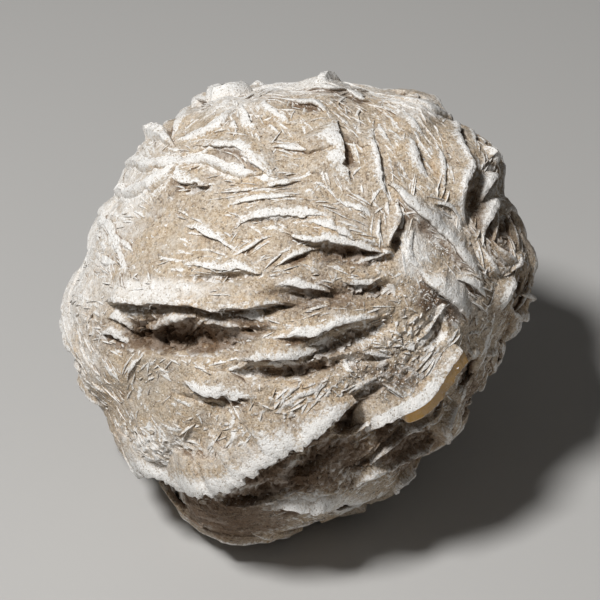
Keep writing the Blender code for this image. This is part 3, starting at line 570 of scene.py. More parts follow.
# Cross sections of a blade: across and height in rim widths and lifts
# (x * w, zh * h + zw * w), then how white, how dark with painted shade and brown dirt (underside and slot part) and
# how glassy each point is.
SLOT_RING = [(-2.6, 0, -0.30, 0.05, 0, 0), (-1.7, 0.30, 0, 0.25, 0, 0), (-1.15, 0.62, 0, 0.65, 0, 0),
             (-0.88, 0.90, 0, 1.0, 0, 0), (-0.45, 1.0, 0, 1.0, 0, 0), (-0.14, 1.0, 0, 1.0, 0, 0),
             (0.02, 0.90, 0, 1.0, 0, 0), (0.07, 0.62, 0, 0.9, 0, 0), (0.02, 0.34, -0.06, 0.45, 0.3, 0),
             (-0.22, 0.10, -0.35, 0.0, 0.9, 0), (-1.0, -1.0, -0.2, 0, 1, 0), (-2.6, -1.2, -0.5, 0, 1, 0)]
RIDGE_RING = [(-1.0, 0, -0.3, 0.0, 0, 0), (-0.80, 0.26, 0, 0.5, 0, 0), (-0.56, 0.80, 0, 1.0, 0, 0),
              (-0.46, 0.98, 0, 1.0, 0, 0), (0.00, 0.96, 0, 1.0, 0, 0), (0.42, 0.84, 0, 1.0, 0, 0),
              (0.50, 0.62, 0, 0.9, 0.1, 0), (0.55, 0.05, -0.1, 0.3, 0.6, 0), (0.9, -0.4, -0.3, 0.0, 0.3, 0),
              (0.6, -1, -0.2, 0, 0, 0), (-0.8, -1, -0.2, 0, 0, 0)]
PLATE_RING = [(-2.6, 0, -0.30, 0.0, 0, 0), (-1.6, 0.22, 0, 0.05, 0, 0), (-1.05, 0.50, 0, 0.35, 0, 0),
              (-0.86, 0.64, 0, 1.0, 0, 0), (-0.40, 0.83, 0, 1.0, 0, 0), (-0.03, 1.0, 0, 1.0, 0, 0),
              (0.02, 0.99, 0, 0.9, 0, 0.1), (0.05, 0.95, 0, 0.0, 0, 1), (0.42, 0.52, 0, 0.0, 0, 1),
              (0.76, 0.10, 0, 0.0, 0, 1), (0.84, 0.00, 0, 0.5, 0, 0.4), (0.74, -0.15, -0.1, 0.0, 0.7, 0),
              (-0.4, -0.6, -0.4, 0, 1, 0), (-1.2, -1.0, -0.3, 0, 1, 0), (-2.6, -1.2, -0.5, 0, 1, 0)]
SHELF_RING = [(-2.4, 0, -0.30, 0.0, 0, 0), (-1.5, 0.22, 0, 0.0, 0.3, 0), (-1.1, 0.42, 0, 0.55, 0, 0),
              (-0.8, 0.60, 0, 0.9, 0, 0), (-0.50, 0.78, 0, 1.0, 0, 0), (-0.05, 1.0, 0, 1.0, 0, 0),
              (0.04, 0.96, 0, 1.0, 0, 0), (0.06, 0.84, 0, 0.7, 0, 0), (-0.02, 0.55, -0.1, 0.2, 0.6, 0),
              (-0.4, 0.10, -0.35, 0.0, 1, 0), (-1.0, -1.0, -0.2, 0, 1, 0), (-2.4, -1.2, -0.5, 0, 1, 0)]
FINE_RING = [(-2.3, 0, -0.5, 0.0, 0, 0), (-0.75, 0.66, 0, 0.75, 0, 0), (-0.20, 1.0, 0, 1.0, 0, 0),
             (0.12, 0.80, 0, 0.9, 0, 0), (0.2, 0.0, -0.2, 0.2, 0.5, 0), (-0.8, -0.9, -0.9, 0, 0.8, 0)]


def blade_shell(b, bag):
    """Adds the blade to a bag of vertices, faces and values as a closed shell."""
    verts, faces, values = bag
    w, h = b.w, b.h
    base = sum(len(v) for v in verts)
    n = len(b.seat)
    ring = FINE_RING if b.name == "fine" else (SLOT_RING if b.slot else RIDGE_RING)
    ring = {"plate": PLATE_RING, "low_plate_a": SHELF_RING, "low_plate_b": SHELF_RING}.get(b.name, ring)
    m = len(ring)
    f = np.maximum(b.taper, 0.10)
    rows = np.zeros((n, m, 3))
    info = np.zeros((n, m, 3))
    big = smooth(0.30 * MM, 0.95 * MM, w)
    glass = smooth(392, 399, layout_of(b.p)[0])
    for j, (x, zh, zw, white, shade_dirt, amber) in enumerate(ring):
        z = zh * h + zw * w
        if b.name in ("back", "mid"):        # white along the very edge only
            white = white ** 3 if x < -0.5 else white
        x = np.full(n, x)
        if b.name != "fine":                 # bites out of the free edge
            x = x - 0.55 * b.chip * smooth(-0.3, 0.0, x)
            z = z * (1 - 0.35 * b.chip * smooth(-0.6, -0.1, x))
        if b.name == "plate":                # no glassy side on its first part
            up = np.linspace(0, 1, n)
            x = np.where(x > 0.04, 0.04 + (x - 0.04) * (0.1 + (0.9 + 0.35 * up) * glass), x * (1 - 0.45 * smooth(0.7, 1.0, up)))
        rows[:, j] = b.seat + b.s * (x * w * (0.16 + 0.84 * f) + b.jig)[:, None] \
            + b.n * np.where(z > 0, z * f, z)[:, None]
        info[:, j, 0] = white * (0.85 + 0.15 * big) * np.clip(0.25 + b.taper, 0, 1) * b.white
        info[:, j, 1] = shade_dirt
        info[:, j, 2] = amber * glass
    flat = rows.reshape(-1, 3)
    amp = np.repeat(np.clip(w / (0.8 * MM), 0.25, 1.1), m)[:, None] * MM
    flat = flat + amp * (0.055 * np.stack([noise(flat, 0.55 * MM, 41), noise(flat, 0.55 * MM, 42), noise(flat, 0.55 * MM, 43)], 1)
                         + 0.05 * np.stack([noise(flat, 1.1 * MM, 44), noise(flat, 1.1 * MM, 45), noise(flat, 1.1 * MM, 46)], 1))
    verts.append(flat)
    values.append(info.reshape(-1, 3))
    k, j = np.meshgrid(np.arange(n - 1), np.arange(m), indexing="ij")
    a0, a1 = base + k * m + j, base + k * m + (j + 1) % m
    c0, c1 = a0 + m, a1 + m
    quads = np.stack([a0, a1, c1, c0], axis=-1).reshape(-1, 4)
    mid = n // 2
    flip = np.dot(np.cross(b.s[mid], b.n[mid]), b.t[mid]) < 0
    tri = np.concatenate([quads[:, [0, 1, 2]], quads[:, [0, 2, 3]]])
    fan = np.array([[0, i, i + 1] for i in range(1, m - 1)])
    tri = np.concatenate([tri, base + fan[:, ::-1], base + (n - 1) * m + fan])
    faces.append(tri[:, ::-1] if flip else tri)


# --------------------------------------------------------------- the rose mesh
# Where across its rim each blade is traced, in rim widths.
TRACED_AT = {"plate": 0.0}


def face_blades(lines):
    return [Blade([throw(x, y) for x, y in pts], width * LU, lift * LU, SIDES[side], 0.24 * MM,
                  np.random.default_rng([SEED + 1, i]), name)
            for i, ((name, width, lift, side, _), pts) in enumerate(zip(BLADES, lines))]


def large_blades():
    rng = np.random.default_rng(SEED)
    back = other_blades(rng)
    table = lump_table(rng)                 # the lumps follow in the same series
    aims = [np.array(row[4], dtype=float) for row in BLADES]
    lines = [a.copy() for a in aims]
    face = face_blades(lines)
    # a raised rim is seen off its line on the ball: move the line to suit
    for _ in range(3):
        seat_blades(face, face, table)
        for b, aim, line in zip(face, aims, lines):
            at = TRACED_AT.get(b.name, -0.42) if b.slot else 0.0
            crest = b.seat + b.n * (0.9 * b.lift * b.taper)[:, None] + b.s * (at * b.width)
            sx, sy, _ = layout_of(crest)
            for i in range(len(line)):
                k = np.argmin(np.linalg.norm(b.p - throw(*line[i]), axis=1))
                line[i] += 0.85 * np.clip(aim[i] - (sx[k], sy[k]), -14, 14)
            moved = line - aim
            moved[1:-1] = 0.5 * moved[1:-1] + 0.25 * (moved[:-2] + moved[2:])
            line[:] = aim + moved
        face = face_blades(lines)
    wear = np.random.default_rng(SEED + 1)
    out = face
    for line, width, lift, side in back:
        out.append(Blade(line, width, lift, side, 0.75 * MM, wear, "back"))
    return out + middling_blades(np.random.default_rng(SEED + 4)), table


def seat_blades(blades, main, table):
    stations = np.concatenate([b.p - b.s * (0.9 * b.width if b.slot else 0.0) for b in blades])
    placed, _, _ = ground(unit(stations) * ball_radius(unit(stations))[:, None], main, table)
    low = np.zeros(len(stations))
    fine = np.concatenate([np.full(len(b.p), b.name == "fine") for b in blades])
    if fine.any():                           # small blades stand in the slots, not over them
        low[fine] = slot_depth(stations[fine], main)
    placed = placed - inward(unit(stations)) * low[:, None]
    i = 0
    for b in blades:
        n = len(b.p)
        b.seat = placed[i:i + n] + (b.s * (0.9 * b.width) if b.slot else 0.0)
        if b.name == "fine":
            for _ in range(2):
                b.seat[1:-1] = 0.5 * b.seat[1:-1] + 0.25 * (b.seat[:-2] + b.seat[2:])
        i += n


def inward(dirs):
    """Way in which slots are cut: straight in on the show face."""
    facing = np.clip(dirs @ OUT, 0, 1)[:, None]
    return unit(dirs + (facing > 0) * OUT * 1.0)


# Zones of the face in layout units: x, y, half width, half height, then the
# share of small blades there, the share that crosses, and their length and lift.
FINE_ZONES = [
    (175, 235, 58, 40, 0.14, 0.2, 0.8, 0.7), (180, 402, 62, 30, 0.35, 0.3, 0.8, 0.7),
    (268, 160, 55, 30, 0.50, 0.3, 0.9, 0.8), (300, 118, 62, 26, 0.85, 0.5, 1.0, 1.0),
    (480, 220, 50, 100, 0.95, 0.10, 1.6, 1.3), (400, 150, 45, 60, 0.70, 0.12, 1.5, 1.0), (320, 300, 60, 30, 0.80, 0.4, 0.9, 1.0),
    (430, 262, 22, 28, 0.50, 0.5, 0.7, 0.8), (258, 425, 72, 36, 1.0, 0.8, 1.0, 1.0),
    (150, 448, 52, 26, 1.0, 0.7, 1.0, 1.0), (170, 330, 66, 20, 0.8, 0.9, 0.6, 1.6),
    (415, 288, 24, 16, 0.7, 0.7, 0.4, 0.8), (375, 360, 50, 26, 0.7, 0.5, 0.5, 0.7),
    (237, 322, 26, 12, 1.0, 0.8, 0.6, 1.1), (400, 390, 42, 22, 0.6, 0.5, 0.45, 0.7),
]


def fine_blades(main, rng, count=6600):
    """Thin young blades between the large ones, most of them lying nearly
    parallel to the nearest large blade, some crossing it."""
    p = np.concatenate([b.p for b in main])
    t = np.concatenate([b.t for b in main])
    s = np.concatenate([b.s for b in main])
    tree = kdtree.KDTree(len(p))
    for i, c in enumerate(p):
        tree.insert(c, i)
    tree.balance()
    out = []
    golden = math.pi * (3 - math.sqrt(5))
    for i in range(count):
        z = 1 - 2 * (i + 0.5) / count
        a = golden * i
        d = np.array([math.sqrt(1 - z * z) * math.cos(a), math.sqrt(1 - z * z) * math.sin(a), z])
        d = unit(d + rng.normal(0, 0.02, 3))
        draw = rng.uniform(size=9)
        keep, cross, long, high = 0.6, 0.3, 1.0, 1.0
        c = d * ball_radius(d[None])[0]
        if d @ OUT > 0.1:
            x, y, _ = layout_of(c)
            for zx, zy, rx, ry, *values in FINE_ZONES:
                if ((x - zx) / rx) ** 2 + ((y - zy) / ry) ** 2 < 1:
                    keep, cross, long, high = values
        elif d @ OUT < -0.1:
            keep = 0.38
        if draw[0] > keep or d[2] < -0.93:
            continue
        _, k, _ = tree.find(c)
        tt, ss = t[k], s[k]
        tt = unit(tt - d * (tt @ d))
        turn = (draw[1] - 0.5) * 0.6
        if draw[2] < 0.55 * cross:
            turn += (0.45 + 0.9 * draw[3]) * (1 if draw[4] < 0.5 else -1)
        side = unit(np.cross(d, tt))
        if side @ ss < 0:
            side = -side
        e1 = tt * math.cos(turn) + side * math.sin(turn)
        e2 = np.cross(d, e1)
        length = (1.1 + 3.6 * draw[5] ** 1.6) * MM * long
        width = (0.13 + 0.24 * draw[6] ** 2.2) * MM
        lift = (0.09 + 0.24 * draw[7]) * MM * high * (0.75 if draw[2] < cross else 1.0)
        bend = rng.uniform(-24, 24)
        line = []
        for q in np.linspace(-0.5, 0.5, 6) * length:
            w = bend * q * 0.5
            v = unit(c + e1 * math.cos(w) * q + e2 * math.sin(w) * q)
            line.append(v * ball_radius(v[None])[0])
        out.append(Blade(line, width, lift, side, (0.49 if d @ OUT > 0 else 0.62) * MM, rng, "fine"))
    return out


def layers(main, rng):
    """Thin parallel leaves beside the large blades, which grew in books."""
    out = []
    for b in main:
        n = len(b.p)
        pitch = np.linalg.norm(b.p[1] - b.p[0])
        length = n * pitch
        for _ in range(int(length / ((4.5 if b.name not in ("back", "mid") else 10.0) * MM) + rng.uniform(0.3, 1.3))):
            long = min(rng.uniform(2.0, 7.0) * MM, 0.8 * length)
            start = rng.uniform(0.02 * length, max(0.98 * length - long, 0.03 * length))
            k = np.unique(np.clip(np.linspace(start, start + long, 7) / pitch, 0, n - 1).astype(int))
            draw = rng.uniform(size=5)
            wide = max(b.width, 0.5 * MM)
            off = -(0.9 + 1.9 * draw[0]) * wide
            if b.slot and draw[1] < 0.35:
                off = (0.45 + 1.0 * draw[0]) * wide
            slope = (draw[2] - 0.5) * 0.9 * wide
            if len(k) < 4:
                continue
            if np.min(b.s[k] @ b.s[k[0]]) < 0.75:      # not round a tight bend
                continue
            q = b.p[k] + b.s[k] * (off + slope * np.linspace(-1, 1, len(k)))[:, None]
            q = unit(q) * ball_radius(unit(q))[:, None]
            out.append(Blade(list(q), (0.15 + 0.20 * draw[3]) * MM, (0.10 + 0.22 * draw[4]) * MM,
                             b.s[k[len(k) // 2]], (0.48 if b.mid @ OUT > 0 else 0.62) * MM, rng, "fine"))
    return out


def grain_direction(points, main):
    """Direction of the nearest blades, blended, at each point."""
    p = np.concatenate([b.p[::6] for b in main])
    t = np.concatenate([b.t[::6] for b in main])
    tree = kdtree.KDTree(len(p))
    for i, c in enumerate(p):
        tree.insert(c, i)
    tree.balance()
    out = np.zeros_like(points)
    for i, c in enumerate(points):
        ref = None
        for _, k, dist in tree.find_n(c, 5):
            v = t[k]
            if ref is None:
                ref = v
            w = 1.0 / (dist * dist + 1e-6)
            out[i] += v * (w if v @ ref > 0 else -w)
    return unit(out)


def streaks(points, main, cell=0.48 * MM):
    """Fine layering: ridges half a millimetre apart that run with the blades."""
    bm = bmesh.new()
    bmesh.ops.create_icosphere(bm, subdivisions=6, radius=1.0)
    coarse = unit(np.array([v.co[:] for v in bm.verts]))
    bm.free()
    field = grain_direction(coarse * ball_radius(coarse)[:, None], main)
    tree = kdtree.KDTree(len(coarse))
    for i, c in enumerate(coarse):
        tree.insert(c, i)
    tree.balance()
    d = unit(points)
    k = np.array([tree.find(c)[1] for c in d])
    t = field[k]
    out = np.zeros(len(points))
    for i in range(-5, 6):
        out += noise(points + t * (i * 0.8 * cell), cell, 51) * (1 - abs(i) / 6.5)
    return out / 2.6


def facets(points, cell=1.15 * MM, seed=61):
    """Broken, tilted little faces: height in -1..1 over patches of one cell."""
    rng = np.random.default_rng(seed)
    count = int(4 * math.pi * (35.5 * MM) ** 2 / cell ** 2)
    i = np.arange(count)
    z = 1 - 2 * (i + 0.5) / count
    a = math.pi * (3 - math.sqrt(5)) * i
    c = np.stack([np.sqrt(1 - z * z) * np.cos(a), np.sqrt(1 - z * z) * np.sin(a), z], 1)
    c = unit(c + rng.normal(0, 0.4 * cell / (35.5 * MM), c.shape))
    c = c * ball_radius(c)[:, None]
    tilt = rng.normal(size=c.shape)
    step = rng.uniform(-1, 1, count)
    tree = kdtree.KDTree(count)
    for k, v in enumerate(c):
        tree.insert(v, k)
    tree.balance()
    k = np.array([tree.find(v)[1] for v in points])
    return np.clip(np.einsum("ij,ij->i", tilt[k], points - c[k]) / cell + 0.45 * step[k], -1, 1)


def skin_mesh(main, fine, table):
    """The sand-filled mass between the blades, with its hollows and slots."""
    bm = bmesh.new()
    bmesh.ops.create_icosphere(bm, subdivisions=8, radius=1.0)
    mesh = bpy.data.meshes.new("ball")
    bm.to_mesh(mesh)
    bm.free()
    dirs = unit(unit(coords(mesh)) + SKIN_WARP * OUT)
    base = dirs * ball_radius(dirs)[:, None]
    skin, hollow, bank = ground(base, main, table)
    slots = np.maximum(slot_depth(base, main), small_slots(base, fine))
    slots = np.maximum(slots - 0.6 * hollow, 0)
    skin = skin - inward(dirs) * slots[:, None]
    pit = np.maximum(noise(base, 0.9 * MM, 26) - 0.35, 0) * 0.28
    streak = streaks(base, main)
    rough = HACKLY(base)
    slots *= 1.0 + 0.25 * noise(base, 1.2 * MM, 53)
    hackly = 0.35 + 0.65 * smooth(-0.3, 0.4, noise(base, 6.0 * MM, 52) + 0.5 * rough) + 0.9 * smooth(0.3, 2.0, hollow / MM)
    torn = 0.10 + 0.35 * np.clip(rough, 0, 1) + 0.50 * smooth(0.4, 2.0, hollow / MM) \
        + 0.40 * smooth(0.3, 1.1, slots / MM) - 0.06 * np.clip(-rough, 0, 1)
    broken = facets(base)
    skin -= dirs * (pit * MM)[:, None]
    skin += dirs * (MM * (0.030 * noise(base, 1.3 * MM, 21) + 0.03 * noise(base, 0.65 * MM, 22)
                          + 0.13 * hackly * streak + 0.80 * torn * broken))[:, None]
    skin = skin + MIDDLE
    skin[:, 2] = np.maximum(skin[:, 2], 0.0)          # rests on a flat worn base
    mesh.vertices.foreach_set("co", skin.astype(np.float32).ravel())
    mesh.update()
    for name, v in (("hollow_mm", hollow / MM), ("slot_mm", slots / MM), ("streak", streak * hackly),
                    ("broken", broken * torn)):
        mesh.attributes.new(name, "FLOAT", "POINT").data.foreach_set("value", v.astype(np.float32))
    return mesh


def half(mesh, name, front):
    """The part of a closed mesh before or behind the SPLIT plane, closed."""
    bm = bmesh.new()
    bm.from_mesh(mesh)
    cut = bmesh.ops.bisect_plane(bm, geom=bm.verts[:] + bm.edges[:] + bm.faces[:], dist=1e-7,
                                 plane_co=Vector(MIDDLE + OUT * SPLIT), plane_no=Vector(OUT),
                                 clear_outer=not front, clear_inner=front)
    rim = [e for e in cut["geom_cut"] if isinstance(e, bmesh.types.BMEdge) and len(e.link_faces) == 1]
    for e in rim:
        e.smooth = False
    bmesh.ops.triangle_fill(bm, use_beauty=True, use_dissolve=False, edges=rim, normal=Vector(OUT * (-1 if front else 1)))
    bmesh.ops.triangulate(bm, faces=[f for f in bm.faces if len(f.verts) > 3])
    out = bpy.data.meshes.new(name)
    bm.to_mesh(out)
    bm.free()
    return out


def new_mesh(name, verts, faces_flat, sizes):
    mesh = bpy.data.meshes.new(name)
    mesh.vertices.add(len(verts))
    mesh.vertices.foreach_set("co", np.asarray(verts, dtype=np.float32).ravel())
    mesh.loops.add(len(faces_flat))
    mesh.loops.foreach_set("vertex_index", np.asarray(faces_flat, dtype=np.int32))
    mesh.polygons.add(len(sizes))
    starts = np.concatenate([[0], np.cumsum(sizes)[:-1]])
    mesh.polygons.foreach_set("loop_start", starts.astype(np.int32))
    mesh.update(calc_edges=True)
    mesh.validate()
    return mesh


def link(name, mesh):
    ob = bpy.data.objects.new(name, mesh)
    bpy.context.scene.collection.objects.link(ob)
    return ob


def coords(mesh):
    co = np.zeros(len(mesh.vertices) * 3, dtype=np.float32)
    mesh.vertices.foreach_get("co", co)
    return co.reshape(-1, 3).astype(float)


class Crests:
    """Nearest blade rim for any point."""

    def __init__(self, blades):
        self.p = np.concatenate([b.seat + b.s * b.jig[:, None] for b in blades])
        self.n = np.concatenate([b.n for b in blades])
        self.s = np.concatenate([b.s for b in blades])
        self.w = np.concatenate([b.w for b in blades])
        self.h = np.concatenate([b.h * b.taper for b in blades])
        self.taper = np.concatenate([b.taper for b in blades])
        self.blade = np.concatenate([np.full(len(b.p), i) for i, b in enumerate(blades)])
        self.slot = np.array([b.slot for b in blades])
        top = self.p + self.n * (0.8 * self.h)[:, None]
        top -= self.s * np.where(self.slot[self.blade], 0.45 * self.w, 0)[:, None]
        self.tree = kdtree.KDTree(len(top))
        for i, c in enumerate(top):
            self.tree.insert(c, i)
        self.tree.balance()

    def near(self, q):
        k = np.empty(len(q), dtype=np.int64)
        find = self.tree.find
        for i, c in enumerate(q):
            k[i] = find(c)[1]
        return k


def rim_measure(q, crests, k):
    """Across and height of the points q over the rim k, in rim widths."""
    r = q - crests.p[k]
    across = np.einsum("ij,ij->i", r, crests.s[k]) / crests.w[k]
    up = np.einsum("ij,ij->i", r, crests.n[k])
    return across, up


def grains(sources, rng):
    """Loose sand grains and small bright crystals, half sunk in the stone."""
    verts, faces, white, glint = [], [], [], []
    base = 0
    for mesh, sand, crystals in sources:
        co = coords(mesh) - MIDDLE
        no = np.zeros(len(co) * 3, dtype=np.float32)
        mesh.vertex_normals.foreach_get("vector", no)
        no = no.reshape(-1, 3).astype(float)
        x, y, zc = layout_of(co)
        rich = np.zeros(len(co))
        for sx, sy, rx, ry in SPARKLE:
            rich = np.maximum(rich, np.exp(-(((x - sx) / rx) ** 2 + ((y - sy) / ry) ** 2) ** 1.5) * (zc > 0))
        for count, bright in ((sand, False), (crystals, True)):
            chance = 0.15 + rich * 8 if bright else 1.0 + 0.9 * noise(co, 4.0 * MM, 71)
            chance = np.where(co[:, 2] + MIDDLE[2] > 0.4 * MM, chance, 0) / (0.6 + 0.4 * (zc > 0))
            k = rng.choice(len(co), size=count, replace=False, p=chance / chance.sum())
            a = (0.07 + 0.10 * rng.uniform(size=count) ** 2) * MM
            if bright:
                a = (0.10 + 0.26 * rng.uniform(size=count) ** 2.5) * MM
            b = a * (rng.uniform(0.35, 0.7, count) if bright else rng.uniform(0.75, 1.0, count))
            c = a * (rng.uniform(0.16, 0.4, count) if bright else rng.uniform(0.6, 0.9, count))
            e1 = unit(np.cross(no[k], rng.normal(size=(count, 3))))
            up = unit(no[k] + rng.normal(0, 0.55 if bright else 0.3, (count, 3)))
            e1 = unit(e1 - up * np.sum(e1 * up, axis=1, keepdims=True))
            e2 = np.cross(up, e1)
            at = co[k] + no[k] * (0.3 * c)[:, None]
            six = np.stack([at + e1 * a[:, None], at + e2 * b[:, None], at - e1 * a[:, None],
                            at - e2 * b[:, None], at + up * c[:, None], at - up * c[:, None]], axis=1)
            verts.append(six.reshape(-1, 3))
            eight = np.array([[0, 1, 4], [1, 2, 4], [2, 3, 4], [3, 0, 4], [1, 0, 5], [2, 1, 5], [3, 2, 5], [0, 3, 5]])
            faces.append((base + 6 * np.arange(count)[:, None, None] + eight[None]).reshape(-1, 3))
            base += 6 * count
            white.append(np.repeat(np.full(count, 1.0) if bright else (rng.uniform(size=count) < 0.30) * 0.9, 6))
            glint.append(np.full(6 * count, 1.0 if bright else 0.0))
    faces = np.concatenate(faces)
    mesh = new_mesh("grains", np.concatenate(verts) + MIDDLE, faces.ravel(), np.full(len(faces), 3))
    for key, v in (("white", np.concatenate(white)), ("shade_dirt", np.zeros(base)), ("glass", np.zeros(base)),
                   ("glint", np.concatenate(glint))):
        mesh.attributes.new(key, "FLOAT", "POINT").data.foreach_set("value", v.astype(np.float32))
    return mesh


def wear_flat(mesh):
    """Everything below z = 0 is worn away."""
    bm = bmesh.new()
    bm.from_mesh(mesh)
    cut = bmesh.ops.bisect_plane(bm, geom=bm.verts[:] + bm.edges[:] + bm.faces[:], dist=1e-6,
                                 plane_co=(0, 0, 0), plane_no=(0, 0, -1), clear_outer=True)
    rim = [e for e in cut["geom_cut"] if isinstance(e, bmesh.types.BMEdge) and len(e.link_faces) == 1]
    if rim:
        bmesh.ops.triangle_fill(bm, use_beauty=True, use_dissolve=False, edges=rim, normal=(0, 0, -1))
    bmesh.ops.delete(bm, geom=[v for v in bm.verts if not v.link_faces], context="VERTS")
    bmesh.ops.triangulate(bm, faces=[f for f in bm.faces if len(f.verts) > 3])
    bm.to_mesh(mesh)
    open_edges = sum(1 for e in bm.edges if len(e.link_faces) != 2)
    bm.free()
    print(mesh.name, "triangles", len(mesh.polygons), "open edges", open_edges)


def shells_mesh(name, blades):
    bag = ([], [], [])
    for b in blades:
        blade_shell(b, bag)
    verts, faces, values = np.concatenate(bag[0]), np.concatenate(bag[1]), np.concatenate(bag[2])
    mesh = new_mesh(name, verts + MIDDLE, faces.ravel(), np.full(len(faces), 3))
    for i, key in enumerate(("white", "shade_dirt", "glass")):
        mesh.attributes.new(key, "FLOAT", "POINT").data.foreach_set("value", values[:, i].astype(np.float32))
    return mesh


def value_of(mesh, name):
    out = np.zeros(len(mesh.vertices), dtype=np.float32)
    mesh.attributes[name].data.foreach_get("value", out)
    return out.astype(float)


# Zones of the face in layout units: x, y, half width, half height, amount.
SMOOTH_ZONES = [(175, 235, 62, 42, 1.0), (180, 402, 66, 34, 0.8), (268, 160, 50, 25, 0.6), (425, 262, 25, 30, 0.5),
                (100, 300, 20, 90, 0.3)]
ROUGH_ZONES = [(262, 425, 70, 38, 1.0), (150, 445, 50, 26, 0.9), (330, 400, 60, 45, 0.7), (400, 350, 40, 40, 0.9),
               (330, 285, 70, 30, 0.5), (480, 260, 40, 60, 0.6), (400, 450, 60, 30, 0.9), (130, 330, 60, 25, 0.9),
               (356, 418, 22, 22, 1.0), (300, 470, 70, 30, 0.9)]
# Paler zones: real whitened gypsum, and painted light on the top rim, the right side and the low plate, which the key
# lamp lights less.
PALE_AND_LIT_ZONES = [(150, 289, 66, 12, 1.0), (432, 232, 44, 16, 0.45), (436, 288, 30, 18, 0.45), (150, 448, 46, 22, 0.45),
              (230, 455, 60, 12, 0.4), (95, 260, 22, 70, 0.6), (212, 96, 66, 18, 0.8), (150, 150, 40, 22, 0.35), (285, 84, 80, 12, 1.0), (190, 487, 60, 8, 1.0), (444, 288, 34, 16, 0.5), (454, 298, 22, 24, 0.9), (438, 222, 34, 16, 0.7), (487, 190, 7, 22, 0.8), (487, 222, 7, 18, 0.8),
              (425, 105, 36, 14, 0.7), (345, 84, 34, 10, 0.7), (415, 250, 16, 32, 0.85), (240, 160, 70, 10, 0.3),
              (130, 462, 20, 10, 0.5), (88, 360, 16, 30, 0.6), (325, 504, 62, 9, 1.0)]
# Painted shade with brown dirt: zones darkened under the ledge, under the big rim, in the lower right, in the slots by
# the teeth and on the underside of the bottom lobe, where shade falls.
SHADE_AND_STAIN_ZONES = [(215, 524, 55, 18, 0.95), (412, 450, 56, 30, 0.95), (480, 400, 22, 32, 0.85), (505, 235, 20, 26, 0.65),
               (515, 300, 20, 44, 0.55), (300, 478, 66, 16, 0.95), (345, 455, 44, 22, 0.9), (478, 205, 14, 46, 0.75), (500, 250, 22, 34, 0.6),
               (325, 298, 85, 26, 0.55), (330, 355, 70, 24, 0.45), (176, 333, 78, 23, 1.0), (236, 326, 40, 18, 0.85), (458, 262, 26, 14, 0.35),
               (350, 256, 50, 14, 0.7), (262, 460, 60, 30, 0.35), (330, 400, 60, 40, 0.30), (215, 522, 80, 26, 1.0),
               (375, 300, 34, 16, 0.42), (395, 376, 40, 20, 0.6), (250, 350, 70, 10, 0.3),
               (295, 415, 50, 22, 0.4)]


def zone_amount(points, zones):
    x, y, zc = layout_of(points)
    out = np.zeros(len(points))
    for zx, zy, rx, ry, amount in zones:
        out = np.maximum(out, amount * np.exp(-(((x - zx) / rx) ** 2 + ((y - zy) / ry) ** 2) ** 1.5))
    return out * smooth(-2 * MM, 6 * MM, zc)


def HACKLY(points):
    return zone_amount(points, ROUGH_ZONES) - zone_amount(points, SMOOTH_ZONES)


def layout_of(q):
    """Layout coordinates of points q given about the ball's middle."""
    zc = q @ OUT
    f = APEX / (APEX - zc) / LU
    return LAY_X + (q @ RIGHT) * f, LAY_Y - (q @ UP) * f, zc


